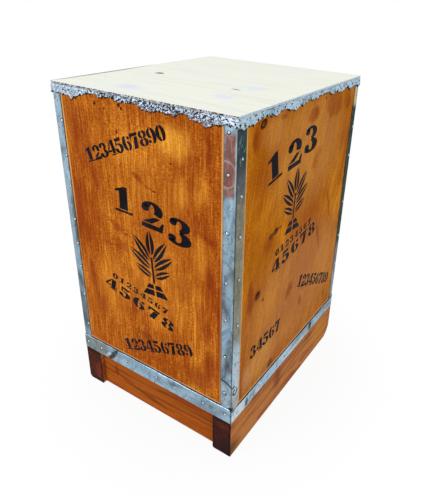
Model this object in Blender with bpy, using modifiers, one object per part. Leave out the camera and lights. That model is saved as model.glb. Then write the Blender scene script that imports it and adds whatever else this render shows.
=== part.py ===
"""Plywood storage chest with folded tin edge strips, a foil lining, a lift-off lid and a timber base.

Metres, +Z up. The origin is the centre of the footprint on the floor, and the front faces -Y.
What belongs to one side or one corner is modelled in that side's or corner's own frame, with its
outward direction along -Y, and turned about Z. Distances called inward run in from the outline.
"""

import math
import random
from dataclasses import dataclass

import bmesh
import bpy
from mathutils import Matrix, Vector

# Overall size, over the tin strips
WIDTH = 0.405
DEPTH = 0.480
HEIGHT = 0.695
BASE_HEIGHT = 0.091

# Clearance between two pieces that touch
SEAT = 0.0003

# Sheets
WALL_PLY = 0.005
FLOOR_PLY = 0.005
LID_PLY = 0.004
TIN = 0.0006
FOIL = 0.0005

# Inner frame of square battens
BATTEN = 0.020
BATTEN_ARRIS = 0.0015

# Tin strips; those up the corners are folded by hand, some off their middle
CORNER_STRIP = 0.049
EVEN_FLANGE = 0.0245
NARROW_FLANGE = 0.019
LONG_STRIP_FLANGE = 0.036
SIDE_STRIP_FLANGE = 0.029
UNDER_FLANGE = 0.018
TIN_BEND = 0.0005
STRIP_END_GAP = 0.0008
TIN_MITRE = 0.0003
BEND_STEPS = 3

# Foil folded over the rim
HEM_DROP = 0.010
SKIRT_DROP = 0.013
SKIRT_RAGGED = 0.0009
SKIRT_CRUMPLE = 0.0012
SKIRT_STEP = 0.0062
FOIL_MITRE = 0.0006
SKIRT_MIDDLE_SHARE = 0.45
SKIRT_LIP_SHARE = 0.40

# Depth of the torn edge, as shares of the drop, at shares of half the run from the middle of the side
LONG_EDGE_SHARES = (
    (-1.0, 1.07), (-0.80, 1.15), (-0.75, 1.53), (-0.67, 0.99), (-0.52, 0.38), (-0.376, 0.45), (-0.21, 0.38),
    (-0.173, 0.68), (-0.025, 0.45), (0.04, 0.68), (0.074, 0.92), (0.158, 1.15), (0.21, 0.84), (0.42, 0.92),
    (0.464, 0.53), (0.53, 0.68), (0.59, 0.92), (0.67, 1.22), (0.716, 1.61), (0.785, 1.07), (0.87, 0.92),
    (1.0, 0.86),
)
SIDE_EDGE_SHARES = (
    (-1.0, 1.15), (-0.925, 1.30), (-0.896, 1.07), (-0.81, 1.07), (-0.767, 0.84), (-0.65, 0.61), (-0.604, 0.84),
    (-0.525, 1.07), (-0.45, 0.61), (-0.354, 0.84), (-0.254, 1.30), (-0.21, 0.92), (-0.14, 0.99), (-0.058, 0.53),
    (0.033, 0.76), (0.13, 0.53), (0.217, 0.61), (0.283, 0.38), (0.396, 0.92), (0.475, 0.68), (0.579, 1.22),
    (0.71, 0.45), (0.77, 1.30), (0.85, 0.84), (1.0, 1.22),
)

# Lid
CLEAT_WIDTH = 0.030
CLEAT_HEIGHT = 0.012
LID_FIT = 0.002
LID_ARRIS = 0.0005

# Base
RUNNER_WIDTH = 0.044
TIMBER_ARRIS = 0.001
LEFT_RUNNER_ROUND = 0.009
RIGHT_RUNNER_ROUND = 0.005
ROUND_STEPS = 5
REAR_EASE_LENGTH = 0.026
REAR_EASE_HEIGHT = 0.027
REAR_EASE_SHARE = 0.35
RAIL_THICKNESS = 0.022
RAIL_SETBACK = 0.009
RAIL_FLOOR_GAP = 0.0015

# Base screws, down through the floor into the runners
SCREW_SHANK_RADIUS = 0.002
SCREW_HEAD_RADIUS = 0.004
SCREW_HEAD_DEPTH = 0.0025
SCREW_POINT = 0.005
SCREW_BITE = 0.030
SCREW_SIDES = 10
SCREW_CLEARANCE = 0.0003
SCREW_RUN_SHARES = {"front": -0.72, "middle": 0.0, "rear": 0.72}

# Distances inward from the outline
STRIP_FACE = TIN + SEAT
WALL_FACE = STRIP_FACE + TIN + SEAT
FRAME_FACE = WALL_FACE + WALL_PLY + SEAT
FRAME_INNER = FRAME_FACE + BATTEN
FOIL_INNER = FRAME_INNER + SEAT + FOIL
SCREW_LINE = (FRAME_INNER + RUNNER_WIDTH) / 2

# Heights
STRIP_BOTTOM = BASE_HEIGHT + SEAT
FLOOR_BOTTOM = STRIP_BOTTOM + TIN + SEAT
FLOOR_TOP = FLOOR_BOTTOM + FLOOR_PLY
FRAME_BOTTOM = FLOOR_TOP + SEAT
LID_BOTTOM = HEIGHT - LID_PLY
RIM_TOP = LID_BOTTOM - SEAT - FOIL - SEAT

# Colour, roughness and metallic value of each finish
FINISHES = {
    "stained_ply": ((0.50, 0.20, 0.05), 0.45, 0.0),
    "pale_ply": ((0.86, 0.83, 0.74), 0.60, 0.0),
    "raw_pine": ((0.62, 0.45, 0.27), 0.70, 0.0),
    "base_timber": ((0.42, 0.16, 0.05), 0.50, 0.0),
    "tin": ((0.66, 0.72, 0.77), 0.28, 1.0),
    "foil": ((0.74, 0.77, 0.84), 0.35, 1.0),
    "screw_steel": ((0.70, 0.66, 0.52), 0.35, 1.0),
}


@dataclass(frozen=True)
class Side:
    """One side of the chest, as it lies in its own frame."""

    turn: float
    half_run: float
    reach: float
    wall_end: float
    strip_flange: float
    edge_shares: tuple


@dataclass(frozen=True)
class Corner:
    """One upright corner of the chest: its turn about Z, its place in plan and its strip's first flange."""

    turn: float
    x: float
    y: float
    flange: float


# The front and back walls run past the ends of the two side walls
SIDES = {
    "front": Side(0.0, WIDTH / 2, DEPTH / 2, WALL_FACE, LONG_STRIP_FLANGE, LONG_EDGE_SHARES),
    "right": Side(90.0, DEPTH / 2, WIDTH / 2, FRAME_FACE, SIDE_STRIP_FLANGE, SIDE_EDGE_SHARES),
    "back": Side(180.0, WIDTH / 2, DEPTH / 2, WALL_FACE, LONG_STRIP_FLANGE, LONG_EDGE_SHARES),
    "left": Side(270.0, DEPTH / 2, WIDTH / 2, FRAME_FACE, SIDE_STRIP_FLANGE, SIDE_EDGE_SHARES),
}
CORNERS = {
    "front_right": Corner(0.0, WIDTH / 2, -DEPTH / 2, EVEN_FLANGE),
    "back_right": Corner(90.0, WIDTH / 2, DEPTH / 2, NARROW_FLANGE),
    "back_left": Corner(180.0, -WIDTH / 2, DEPTH / 2, EVEN_FLANGE),
    "front_left": Corner(270.0, -WIDTH / 2, -DEPTH / 2, CORNER_STRIP - NARROW_FLANGE),
}


def clear_scene():
    """Remove whatever the file opened with."""
    for old in list(bpy.data.objects):
        bpy.data.objects.remove(old, do_unlink=True)


def new_collection(name):
    """A collection linked to the scene."""
    made = bpy.data.collections.new(name)
    bpy.context.scene.collection.children.link(made)
    return made


def finish_material(name, finish):
    """A Principled material for one piece, from the table of finishes."""
    colour, roughness, metallic = FINISHES[finish]
    material = bpy.data.materials.new(name + "_finish")
    material.use_nodes = True
    shader = material.node_tree.nodes["Principled BSDF"]
    shader.inputs["Base Color"].default_value = (*colour, 1.0)
    shader.inputs["Roughness"].default_value = roughness
    shader.inputs["Metallic"].default_value = metallic
    material.diffuse_color = (*colour, 1.0)
    return material


def object_from(name, bm, location, turn, collection):
    """An object from a bmesh, placed by its location and its turn about Z."""
    mesh = bpy.data.meshes.new(name)
    bm.to_mesh(mesh)
    bm.free()
    made = bpy.data.objects.new(name, mesh)
    made.location = location
    made.rotation_euler.z = math.radians(turn)
    collection.objects.link(made)
    return made


def piece(name, bm, finish, location=(0, 0, 0), turn=0.0):
    """A piece of the chest, with its own material."""
    made = object_from(name, bm, location, turn, CHEST)
    made.data.materials.append(finish_material(name, finish))
    return made


def cutter(name, bm, location=(0, 0, 0)):
    """A hidden shape that cuts other pieces."""
    made = object_from(name, bm, location, 0.0, CUTTERS)
    made.display_type = "WIRE"
    made.hide_render = True
    return made


def cut(target, tool):
    """Cut a tool's shape out of a piece."""
    modifier = target.modifiers.new(tool.name, "BOOLEAN")
    modifier.operation = "DIFFERENCE"
    modifier.solver = "EXACT"
    modifier.object = tool


def ease_edges(target, width):
    """Take the sharp edges off a piece of timber."""
    bevel = target.modifiers.new("arris", "BEVEL")
    bevel.width = width
    bevel.segments = 1
    bevel.limit_method = "ANGLE"


def box_bmesh(size):
    """A box of this size about its own centre."""
    bm = bmesh.new()
    bmesh.ops.create_cube(bm, size=1.0)
    bmesh.ops.transform(bm, matrix=Matrix.Diagonal((*size, 1.0)), verts=bm.verts)
    return bm


def board(name, low, high, finish, turn=0.0):
    """A rectangular board between two corners of its side's frame, turned with that side."""
    low, high = Vector(low), Vector(high)
    centre = Matrix.Rotation(math.radians(turn), 3, "Z") @ ((low + high) / 2)
    return piece(name, box_bmesh(high - low), finish, centre, turn)


def prism_bmesh(outline, along):
    """A flat outline of 3D points, drawn out by a vector."""
    bm = bmesh.new()
    face = bm.faces.new([bm.verts.new(point) for point in outline])
    swept = bmesh.ops.extrude_face_region(bm, geom=[face])
    moved = [item for item in swept["geom"] if isinstance(item, bmesh.types.BMVert)]
    bmesh.ops.translate(bm, vec=along, verts=moved)
    bmesh.ops.recalc_face_normals(bm, faces=bm.faces)
    return bm


def turned_bmesh(profile, sides):
    """A closed body turned about Z from (radius, height) points that start and end on the axis."""
    bm = bmesh.new()
    verts = [bm.verts.new((radius, 0.0, height)) for radius, height in profile]
    edges = [bm.edges.new(pair) for pair in zip(verts, verts[1:])]
    bmesh.ops.spin(
        bm, geom=verts + edges, cent=(0, 0, 0), axis=(0, 0, 1), angle=math.tau, steps=sides, use_duplicate=False
    )
    bmesh.ops.remove_doubles(bm, verts=bm.verts, dist=SEAT / 100)
    bmesh.ops.recalc_face_normals(bm, faces=bm.faces)
    return bm


def folded_section(first, second):
    """Closed L section of folded tin, its legs along two axes from the outer corner of the fold."""
    outer = TIN_BEND + TIN
    angles = [math.radians(90.0 * step / BEND_STEPS) for step in range(BEND_STEPS + 1)]
    outside = [(outer - outer * math.sin(angle), outer - outer * math.cos(angle)) for angle in angles]
    inside = [(outer - TIN_BEND * math.cos(angle), outer - TIN_BEND * math.sin(angle)) for angle in angles]
    return [(first, 0.0), *outside, (0.0, second), (TIN, second), *inside, (first, TIN)]


def add_walls():
    """The four plywood walls."""
    for name, side in SIDES.items():
        half = side.half_run - side.wall_end
        outer = WALL_FACE - side.reach
        low = (-half, outer, FRAME_BOTTOM)
        high = (half, outer + WALL_PLY, RIM_TOP)
        board(f"wall_{name}", low, high, "stained_ply", side.turn)


def add_floor():
    """The plywood floor, which the walls stand on."""
    half_x = WIDTH / 2 - WALL_FACE
    half_y = DEPTH / 2 - WALL_FACE
    return board("floor_panel", (-half_x, -half_y, FLOOR_BOTTOM), (half_x, half_y, FLOOR_TOP), "raw_pine")


def add_frame():
    """Posts up the corners, with battens between them along the floor and the rim."""
    for name, corner in CORNERS.items():
        inset = FRAME_FACE + BATTEN / 2
        offset = Matrix.Rotation(math.radians(corner.turn), 3, "Z") @ Vector((-inset, inset, 0.0))
        centre = offset + Vector((corner.x, corner.y, (FRAME_BOTTOM + RIM_TOP) / 2))
        size = (BATTEN, BATTEN, RIM_TOP - FRAME_BOTTOM)
        ease_edges(piece(f"post_{name}", box_bmesh(size), "raw_pine", centre, corner.turn), BATTEN_ARRIS)
    for name, side in SIDES.items():
        half = side.half_run - FRAME_INNER - SEAT
        outer = FRAME_FACE - side.reach
        for kind, bottom in {"floor_batten": FRAME_BOTTOM, "rim_batten": RIM_TOP - BATTEN}.items():
            low = (-half, outer, bottom)
            high = (half, outer + BATTEN, bottom + BATTEN)
            ease_edges(board(f"{kind}_{name}", low, high, "raw_pine", side.turn), BATTEN_ARRIS)


def add_lining():
    """Flat foil on the inner faces of the walls and the floor, between the battens."""
    for name, side in SIDES.items():
        half = side.half_run - FRAME_INNER - SEAT
        outer = FRAME_FACE - side.reach
        low = (-half, outer, FRAME_BOTTOM + BATTEN + SEAT)
        high = (half, outer + FOIL, RIM_TOP - BATTEN - SEAT)
        board(f"lining_{name}", low, high, "foil", side.turn)
    half_x = WIDTH / 2 - FRAME_INNER - SEAT
    half_y = DEPTH / 2 - FRAME_INNER - SEAT
    bottom = FLOOR_TOP + SEAT
    board("lining_floor", (-half_x, -half_y, bottom), (half_x, half_y, bottom + FOIL), "foil")


def add_corner_strips():
    """Folded tin angles up the four corners, whose lower ends pass behind the lower strips."""
    bottom = STRIP_BOTTOM + TIN + STRIP_END_GAP
    for name, corner in CORNERS.items():
        section = folded_section(corner.flange, CORNER_STRIP - corner.flange)
        outline = [(-STRIP_FACE - first, STRIP_FACE + second, bottom) for first, second in section]
        shape = prism_bmesh(outline, (0, 0, RIM_TOP - bottom))
        piece(f"corner_strip_{name}", shape, "tin", (corner.x, corner.y, 0.0), corner.turn)


def add_lower_strips():
    """Folded tin angles round the foot of the walls, turned in under the floor and mitred at the corners."""
    for name, side in SIDES.items():
        section = folded_section(UNDER_FLANGE, side.strip_flange)
        bm = prism_bmesh([(-1.0, inward, height) for inward, height in section], (2.0, 0, 0))
        for vert in bm.verts:
            half = side.half_run - vert.co.y - TIN_MITRE
            vert.co = (vert.co.x * half, vert.co.y - side.reach, vert.co.z + STRIP_BOTTOM)
        piece(f"lower_strip_{name}", bm, "tin", (0, 0, 0), side.turn)


def torn_edge(name, shares, count):
    """Depth of the torn edge and bulge of the crumpled foil along one side, a pair for each column."""
    draw = random.Random(name)
    ragged = [draw.uniform(-1.0, 1.0) for _ in range(count)]
    bulges = [draw.random() for _ in range(count)]
    # The two columns at each end lie flat, so that the mitred corners meet
    bulges[:2] = bulges[-2:] = [0.0, 0.0]
    edge = []
    for index in range(count):
        along = 2.0 * index / (count - 1) - 1.0
        (start, first), (end, second) = next(pair for pair in zip(shares, shares[1:]) if along <= pair[1][0])
        share = first + (second - first) * (along - start) / (end - start)
        depth = SKIRT_DROP * share + SKIRT_RAGGED * ragged[index]
        edge.append((depth, SKIRT_CRUMPLE * bulges[index] / max(bulges)))
    return edge


def add_rim_foil():
    """Foil over the rim: a hem down inside, a flat over the battens and a torn, crumpled skirt outside."""
    over_rim = RIM_TOP + SEAT
    hem = FRAME_INNER + SEAT
    hem_end = FOIL_INNER + SEAT
    skirt = STRIP_FACE - SEAT
    for name, side in SIDES.items():
        columns = []
        bm = bmesh.new()
        edge = torn_edge(name, side.edge_shares, round(2 * side.half_run / SKIRT_STEP) + 1)
        for index, (depth, bulge) in enumerate(edge):
            along = 2.0 * index / (len(edge) - 1) - 1.0
            rows = (
                (hem, hem_end, over_rim - HEM_DROP),
                (hem, hem_end, over_rim),
                (skirt, skirt + FOIL_MITRE, over_rim),
                (skirt - bulge, skirt + FOIL_MITRE, RIM_TOP - depth * SKIRT_MIDDLE_SHARE),
                (skirt - bulge * SKIRT_LIP_SHARE, skirt + FOIL_MITRE, RIM_TOP - depth),
            )
            columns.append(
                [bm.verts.new((along * (side.half_run - end), inward - side.reach, z)) for inward, end, z in rows]
            )
        for left, right in zip(columns, columns[1:]):
            for row in range(len(left) - 1):
                bm.faces.new((left[row], left[row + 1], right[row + 1], right[row]))
        foil = piece(f"rim_foil_{name}", bm, "foil", (0, 0, 0), side.turn)
        sheet = foil.modifiers.new("foil", "SOLIDIFY")
        sheet.thickness = FOIL
        sheet.offset = 1.0
        sheet.use_even_offset = True


def add_runner(name, left, round_radius):
    """A base runner, its left lower edge rounded and its lower rear corner eased."""
    half = DEPTH / 2
    remaining = REAR_EASE_LENGTH * (1.0 - REAR_EASE_SHARE)
    outline = [
        (0.0, -half, 0.0),
        (0.0, half - REAR_EASE_LENGTH, 0.0),
        (0.0, half - REAR_EASE_LENGTH + remaining, REAR_EASE_HEIGHT * REAR_EASE_SHARE),
        (0.0, half, REAR_EASE_HEIGHT),
        (0.0, half, BASE_HEIGHT),
        (0.0, -half, BASE_HEIGHT),
    ]
    bm = prism_bmesh(outline, (RUNNER_WIDTH, 0, 0))
    foot = [edge for edge in bm.edges if all(max(vert.co.x, vert.co.z) < SEAT for vert in edge.verts)]
    bmesh.ops.bevel(bm, geom=foot, offset=round_radius, segments=ROUND_STEPS, profile=0.5, affect="EDGES")
    runner = piece(name, bm, "base_timber", (left, 0, 0))
    ease_edges(runner, TIMBER_ARRIS)
    return runner


def add_base():
    """Two runners along the sides, with a rail let in between them at the front and at the back."""
    runners = [
        add_runner("runner_left", -WIDTH / 2, LEFT_RUNNER_ROUND),
        add_runner("runner_right", WIDTH / 2 - RUNNER_WIDTH, RIGHT_RUNNER_ROUND),
    ]
    half = WIDTH / 2 - RUNNER_WIDTH - SEAT
    outer = RAIL_SETBACK - DEPTH / 2
    for name in ("front", "back"):
        low = (-half, outer, RAIL_FLOOR_GAP)
        high = (half, outer + RAIL_THICKNESS, BASE_HEIGHT)
        ease_edges(board(f"base_rail_{name}", low, high, "base_timber", SIDES[name].turn), TIMBER_ARRIS)
    return runners


def screw_profile(grown):
    """Half profile of a countersunk screw or, grown by a clearance, of its hole; its head is flush at zero."""
    length = FLOOR_TOP - BASE_HEIGHT + SCREW_BITE + grown
    shank = SCREW_SHANK_RADIUS + grown
    head = SCREW_HEAD_RADIUS + grown
    point = [(shank, -length)] if grown else [(shank, SCREW_POINT - length)]
    rim = [(head, 0.0), (head, grown), (0.0, grown)] if grown else [(head, 0.0), (0.0, 0.0)]
    return [(0.0, -length), *point, (shank, -SCREW_HEAD_DEPTH - grown), *rim]


def add_base_screws(floor, runners):
    """Three countersunk screws down through the floor into each runner."""
    for runner, sign, hand in zip(runners, (-1, 1), ("left", "right")):
        for name, share in SCREW_RUN_SHARES.items():
            place = (sign * (WIDTH / 2 - SCREW_LINE), share * DEPTH / 2, FLOOR_TOP)
            screw = turned_bmesh(screw_profile(0.0), SCREW_SIDES)
            piece(f"base_screw_{hand}_{name}", screw, "screw_steel", place)
            hole = turned_bmesh(screw_profile(SCREW_CLEARANCE), SCREW_SIDES)
            tool = cutter(f"screw_hole_{hand}_{name}", hole, place)
            cut(floor, tool)
            cut(runner, tool)


def add_lid():
    """The loose lid: a thin panel over the rim, with two cleats that drop inside it."""
    lift = bpy.data.objects.new("lid_lift_axis", None)
    lift.location = (0, 0, LID_BOTTOM)
    CHEST.objects.link(lift)
    half_x = WIDTH / 2
    half_y = DEPTH / 2
    panel = board("lid_panel", (-half_x, -half_y, LID_BOTTOM), (half_x, half_y, HEIGHT), "pale_ply")
    ease_edges(panel, LID_ARRIS)
    pieces = [panel]
    inset = FOIL_INNER + LID_FIT
    top = LID_BOTTOM - SEAT
    for name in ("front", "back"):
        low = (inset - half_x, inset - half_y, top - CLEAT_HEIGHT)
        high = (half_x - inset, inset - half_y + CLEAT_WIDTH, top)
        cleat = board(f"lid_cleat_{name}", low, high, "raw_pine", SIDES[name].turn)
        ease_edges(cleat, BATTEN_ARRIS)
        pieces.append(cleat)
    for made in pieces:
        made.parent = lift
        made.location -= lift.location


clear_scene()
CHEST = new_collection("plywood_chest")
CUTTERS = new_collection("cutters")
add_walls()
FLOOR = add_floor()
add_frame()
add_lining()
add_corner_strips()
add_lower_strips()
add_rim_foil()
add_base_screws(FLOOR, add_base())
add_lid()
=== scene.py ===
"""Looks of a stained plywood storage chest with tin edge strips, a foil lining and a timber base.

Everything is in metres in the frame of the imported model, except where a table says millimetres: +Z up, the
front faces -Y, and the origin is the centre of the footprint on the floor. What belongs to one side or one
corner is worked out in its own frame, with the outward direction along -Y, and turned about Z.
"""

import logging
import math
from collections.abc import Sequence
from dataclasses import dataclass
from enum import Enum

import bmesh
import bpy
from mathutils import Matrix, Vector, noise


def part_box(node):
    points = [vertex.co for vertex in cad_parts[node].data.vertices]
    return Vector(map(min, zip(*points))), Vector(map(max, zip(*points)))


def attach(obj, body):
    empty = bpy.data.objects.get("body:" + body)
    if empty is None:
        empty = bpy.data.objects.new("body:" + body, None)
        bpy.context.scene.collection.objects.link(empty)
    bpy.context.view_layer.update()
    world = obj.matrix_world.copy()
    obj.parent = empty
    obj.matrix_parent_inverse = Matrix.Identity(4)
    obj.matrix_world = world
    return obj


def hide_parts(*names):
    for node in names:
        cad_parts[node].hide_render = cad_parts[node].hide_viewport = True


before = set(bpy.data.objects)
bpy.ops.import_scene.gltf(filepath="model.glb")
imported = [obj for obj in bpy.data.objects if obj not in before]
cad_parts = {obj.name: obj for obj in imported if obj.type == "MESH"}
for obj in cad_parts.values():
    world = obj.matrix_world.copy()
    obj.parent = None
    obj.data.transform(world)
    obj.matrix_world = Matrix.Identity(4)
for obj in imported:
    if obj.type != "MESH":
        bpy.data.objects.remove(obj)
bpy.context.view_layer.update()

log = logging.getLogger("chest")

Socket = bpy.types.NodeSocket
Point2 = tuple[float, float]
Point3 = tuple[float, float, float]
Colour = Point3
Scale = float | Sequence[float]
Polygon = list[Point2]

MM = 0.001
TIN_FACE = 0.0009
WIDTH = 0.405
DEPTH = 0.480
HEIGHT = 0.695
CHEST = "chest"


class Slot(Enum):
    """Names of the record's material slots, one given with each new piece."""

    PLY = "stained_ply"
    TIN = "tin"
    STEEL = "screw_steel"
    FOIL = "foil"


class Side(Enum):
    """The four sides of the chest: name, turn in degrees, half of the run and reach from the centre."""

    FRONT = ("front", 0.0, WIDTH / 2, DEPTH / 2)
    RIGHT = ("right", 90.0, DEPTH / 2, WIDTH / 2)
    BACK = ("back", 180.0, WIDTH / 2, DEPTH / 2)
    LEFT = ("left", 270.0, DEPTH / 2, WIDTH / 2)

    def __init__(self, label: str, degrees: float, half_run: float, reach: float) -> None:
        """Name the parts of the value.

        Args:
            label: Name of the side.
            degrees: Its turn from the front.
            half_run: Half of its length.
            reach: Its distance from the centre.
        """
        self.label = label
        self.turn = math.radians(degrees)
        self.half_run = half_run
        self.reach = reach

    @property
    def frontal(self) -> bool:
        """Whether this is the front or the back."""
        return self in (Side.FRONT, Side.BACK)

    @property
    def outward(self) -> Vector:
        """Direction out of this side."""
        return (self.place(0.0, -1.0, 0.0) - self.place(0.0, 0.0, 0.0)).normalized()

    def place(self, along: float, inward: float, height: float) -> Vector:
        """A point of this side: along it to the right as seen from outside, in from its outline, and up."""
        return Matrix.Rotation(self.turn, 3, "Z") @ Vector((along, inward - self.reach, height))


class Corner(Enum):
    """The four corners: name, turn in degrees and the place in plan."""

    FRONT_RIGHT = ("front_right", 0.0, WIDTH / 2, -DEPTH / 2)
    BACK_RIGHT = ("back_right", 90.0, WIDTH / 2, DEPTH / 2)
    BACK_LEFT = ("back_left", 180.0, -WIDTH / 2, DEPTH / 2)
    FRONT_LEFT = ("front_left", 270.0, -WIDTH / 2, -DEPTH / 2)

    def __init__(self, label: str, degrees: float, x: float, y: float) -> None:
        """Name the parts of the value.

        Args:
            label: Name of the corner.
            degrees: Its turn from the front right.
            x: Place along X.
            y: Place along Y.
        """
        self.label = label
        self.turn = math.radians(degrees)
        self.x = x
        self.y = y

    def direction(self, x: float, y: float) -> Vector:
        """A level direction of this corner's frame in the model's frame."""
        return Matrix.Rotation(self.turn, 3, "Z") @ Vector((x, y, 0.0))

    def place(self, across: float, inward: float, height: float) -> Vector:
        """A point of this corner: along its first side, in from that side's outline, and up."""
        turned = self.direction(across, inward)
        return Vector((self.x + turned.x, self.y + turned.y, height))


class Graph:
    """Adds nodes to one shader or geometry tree."""

    def __init__(self, tree: bpy.types.NodeTree) -> None:
        """Keep the tree that the nodes go into."""
        self.tree = tree

    @classmethod
    def fresh(cls, owner: bpy.types.Material | bpy.types.World) -> "Graph":
        """An empty graph of a material or a world.

        Args:
            owner: The material or world.

        Returns:
            The graph.
        """
        owner.use_nodes = True
        owner.node_tree.nodes.clear()
        return cls(owner.node_tree)

    def feed(self, socket: Socket, value: object) -> None:
        """Link a socket to an input, or set the input's own value.

        Args:
            socket: The input.
            value: A socket or a plain value.
        """
        if isinstance(value, bpy.types.NodeSocket):
            self.tree.links.new(value, socket)
        elif socket.type == "RGBA" and len(value) == 3:
            socket.default_value = (*value, 1.0)
        else:
            socket.default_value = value

    def add(self, kind: str, feeds: dict | None = None, **settings: object) -> bpy.types.Node:
        """Add a node.

        Args:
            kind: Type name of the node.
            feeds: What its inputs get, by name or index.
            settings: Properties of the node.

        Returns:
            The node.
        """
        node = self.tree.nodes.new(kind)
        for name, value in settings.items():
            setattr(node, name, value)
        for key, value in (feeds or {}).items():
            self.feed(node.inputs[key], value)
        return node

    def math(self, operation: str, *values: object, clamp: bool = False) -> Socket:
        """Result of a Math node."""
        node = self.add("ShaderNodeMath", dict(enumerate(values)), operation=operation, use_clamp=clamp)
        return node.outputs[0]

    def vector(self, operation: str, *values: object) -> Socket:
        """Vector result of a Vector Math node."""
        return self.add("ShaderNodeVectorMath", dict(enumerate(values)), operation=operation).outputs[0]

    def length(self, vector: Socket) -> Socket:
        """Length of a vector."""
        return self.add("ShaderNodeVectorMath", {0: vector}, operation="LENGTH").outputs["Value"]

    def fade(self, value: Socket, start: float, end: float, low: float = 0.0, high: float = 1.0) -> Socket:
        """Smooth step from low at start to high at end."""
        feeds = {"Value": value, "From Min": start, "From Max": end, "To Min": low, "To Max": high}
        return self.add("ShaderNodeMapRange", feeds, interpolation_type="SMOOTHSTEP").outputs["Result"]

    def blend(self, factor: object, first: object, second: object, mode: str = "MIX") -> Socket:
        """Mix of two colours."""
        feeds = {0: factor, 6: first, 7: second}
        return self.add("ShaderNodeMix", feeds, data_type="RGBA", blend_type=mode).outputs[2]

    def tint(
        self, under: object, over: object, value: Socket, start: float, end: float, most: float = 1.0
    ) -> Socket:
        """A colour with another over it, which a value fades in from start to end, up to its most."""
        return self.blend(self.fade(value, start, end, 0.0, most), under, over)

    def ramp(self, value: Socket, stops: Sequence[tuple[float, Colour]]) -> Socket:
        """Colour ramp through the stops.

        Args:
            value: What it reads.
            stops: Positions and colours.

        Returns:
            The colour.
        """
        node = self.add("ShaderNodeValToRGB", {"Fac": value})
        elements = node.color_ramp.elements
        while len(elements) < len(stops):
            elements.new(1.0)
        for element, (position, colour) in zip(elements, stops):
            element.position = position
            element.color = (*colour, 1.0)
        return node.outputs["Color"]

    def stretch(self, place: Socket, scale: Scale, shift: float = 0.0) -> Socket:
        """Coordinates scaled and shifted off the pattern of other pieces.

        Args:
            place: The coordinates.
            scale: One number for all axes, or two, level and along Z, or one for each axis.
            shift: The shift, the same along each axis.

        Returns:
            The new coordinates.
        """
        scale = (scale,) * 3 if isinstance(scale, float) else tuple(scale)
        feeds = {"Vector": place, "Location": (shift,) * 3, "Scale": (*scale[:1], *scale)[-3:]}
        return self.add("ShaderNodeMapping", feeds).outputs["Vector"]

    def local(self, place: Socket, centre: Sequence[float], half: Sequence[float], lean: float = 0.0) -> Socket:
        """Coordinates about a centre, with 1 at a half size away, leaning about Y by some degrees.

        Args:
            place: The coordinates.
            centre: The centre.
            half: Half size along each axis.
            lean: The lean.

        Returns:
            The new coordinates.
        """
        turn = (0.0, math.radians(-lean), 0.0)
        feeds = {"Vector": place, "Location": centre, "Rotation": turn, "Scale": half}
        return self.add("ShaderNodeMapping", feeds, vector_type="TEXTURE").outputs["Vector"]

    def noise(
        self, place: Socket, scale: Scale, seed: float, detail: float = 2.0, distortion: float = 0.0
    ) -> Socket:
        """Noise between about 0.25 and 0.75.

        Args:
            place: The coordinates.
            scale: Scale, as stretch takes it.
            seed: Shift off other patterns.
            detail: Number of finer layers.
            distortion: How far the pattern is bent.

        Returns:
            The value.
        """
        moved = self.stretch(place, scale, seed)
        feeds = {"Vector": moved, "Scale": 1.0, "Detail": detail, "Distortion": distortion}
        return self.add("ShaderNodeTexNoise", feeds).outputs[0]

    def wander(self, place: Socket, scale: float, amount: float, seed: float) -> Socket:
        """Coordinates pushed about, so that the outlines read from them are irregular.

        Args:
            place: The coordinates.
            scale: Scale of the noise that pushes them.
            amount: How far it pushes.
            seed: Shift off other patterns.

        Returns:
            The new coordinates.
        """
        feeds = {"Vector": self.stretch(place, scale, seed), "Scale": 1.0, "Detail": 3.0}
        colour = self.add("ShaderNodeTexNoise", feeds).outputs[1]
        centred = self.vector("SUBTRACT", colour, (0.5, 0.5, 0.5))
        push = self.vector("MULTIPLY", centred, (amount, amount, amount))
        return self.vector("ADD", place, push)

    def cells(self, place: Socket, scale: float, seed: float, feature: str = "F1") -> bpy.types.Node:
        """A Voronoi node of even scale."""
        feeds = {"Vector": self.stretch(place, scale, seed), "Scale": 1.0}
        return self.add("ShaderNodeTexVoronoi", feeds, feature=feature)

    def object_place(self) -> Socket:
        """Place in the model's frame at rest."""
        return self.add("ShaderNodeTexCoord").outputs["Object"]

    def side_place(self, turn: float) -> Socket:
        """Place in the frame of a side: along, depth and height."""
        feeds = {"Vector": self.object_place(), "Rotation": (0.0, 0.0, -turn)}
        return self.add("ShaderNodeMapping", feeds).outputs["Vector"]

    def part(self, place: Socket, axis: str) -> Socket:
        """One coordinate of a place."""
        return self.add("ShaderNodeSeparateXYZ", {0: place}).outputs[axis]

    def facing(self, way: str) -> Socket:
        """How squarely the surface faces a way.

        Args:
            way: A way such as +X, or an axis without a sign for both ways along it.

        Returns:
            1 where it faces that way.
        """
        part = self.part(self.add("ShaderNodeTexCoord").outputs["Normal"], way[-1])
        if len(way) == 1:
            return self.math("ABSOLUTE", part)
        return self.math("MULTIPLY", part, -1.0 if way[0] == "-" else 1.0)

    def bump(self, height: Socket, strength: float, distance: float, under: Socket | None = None) -> Socket:
        """Normal of a bumped surface.

        Args:
            height: Height of the bumps.
            strength: Their strength.
            distance: Their depth.
            under: Normal of another bump below.

        Returns:
            The normal.
        """
        feeds = {"Height": height, "Strength": strength, "Distance": distance}
        if under is not None:
            feeds["Normal"] = under
        return self.add("ShaderNodeBump", feeds).outputs["Normal"]


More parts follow.
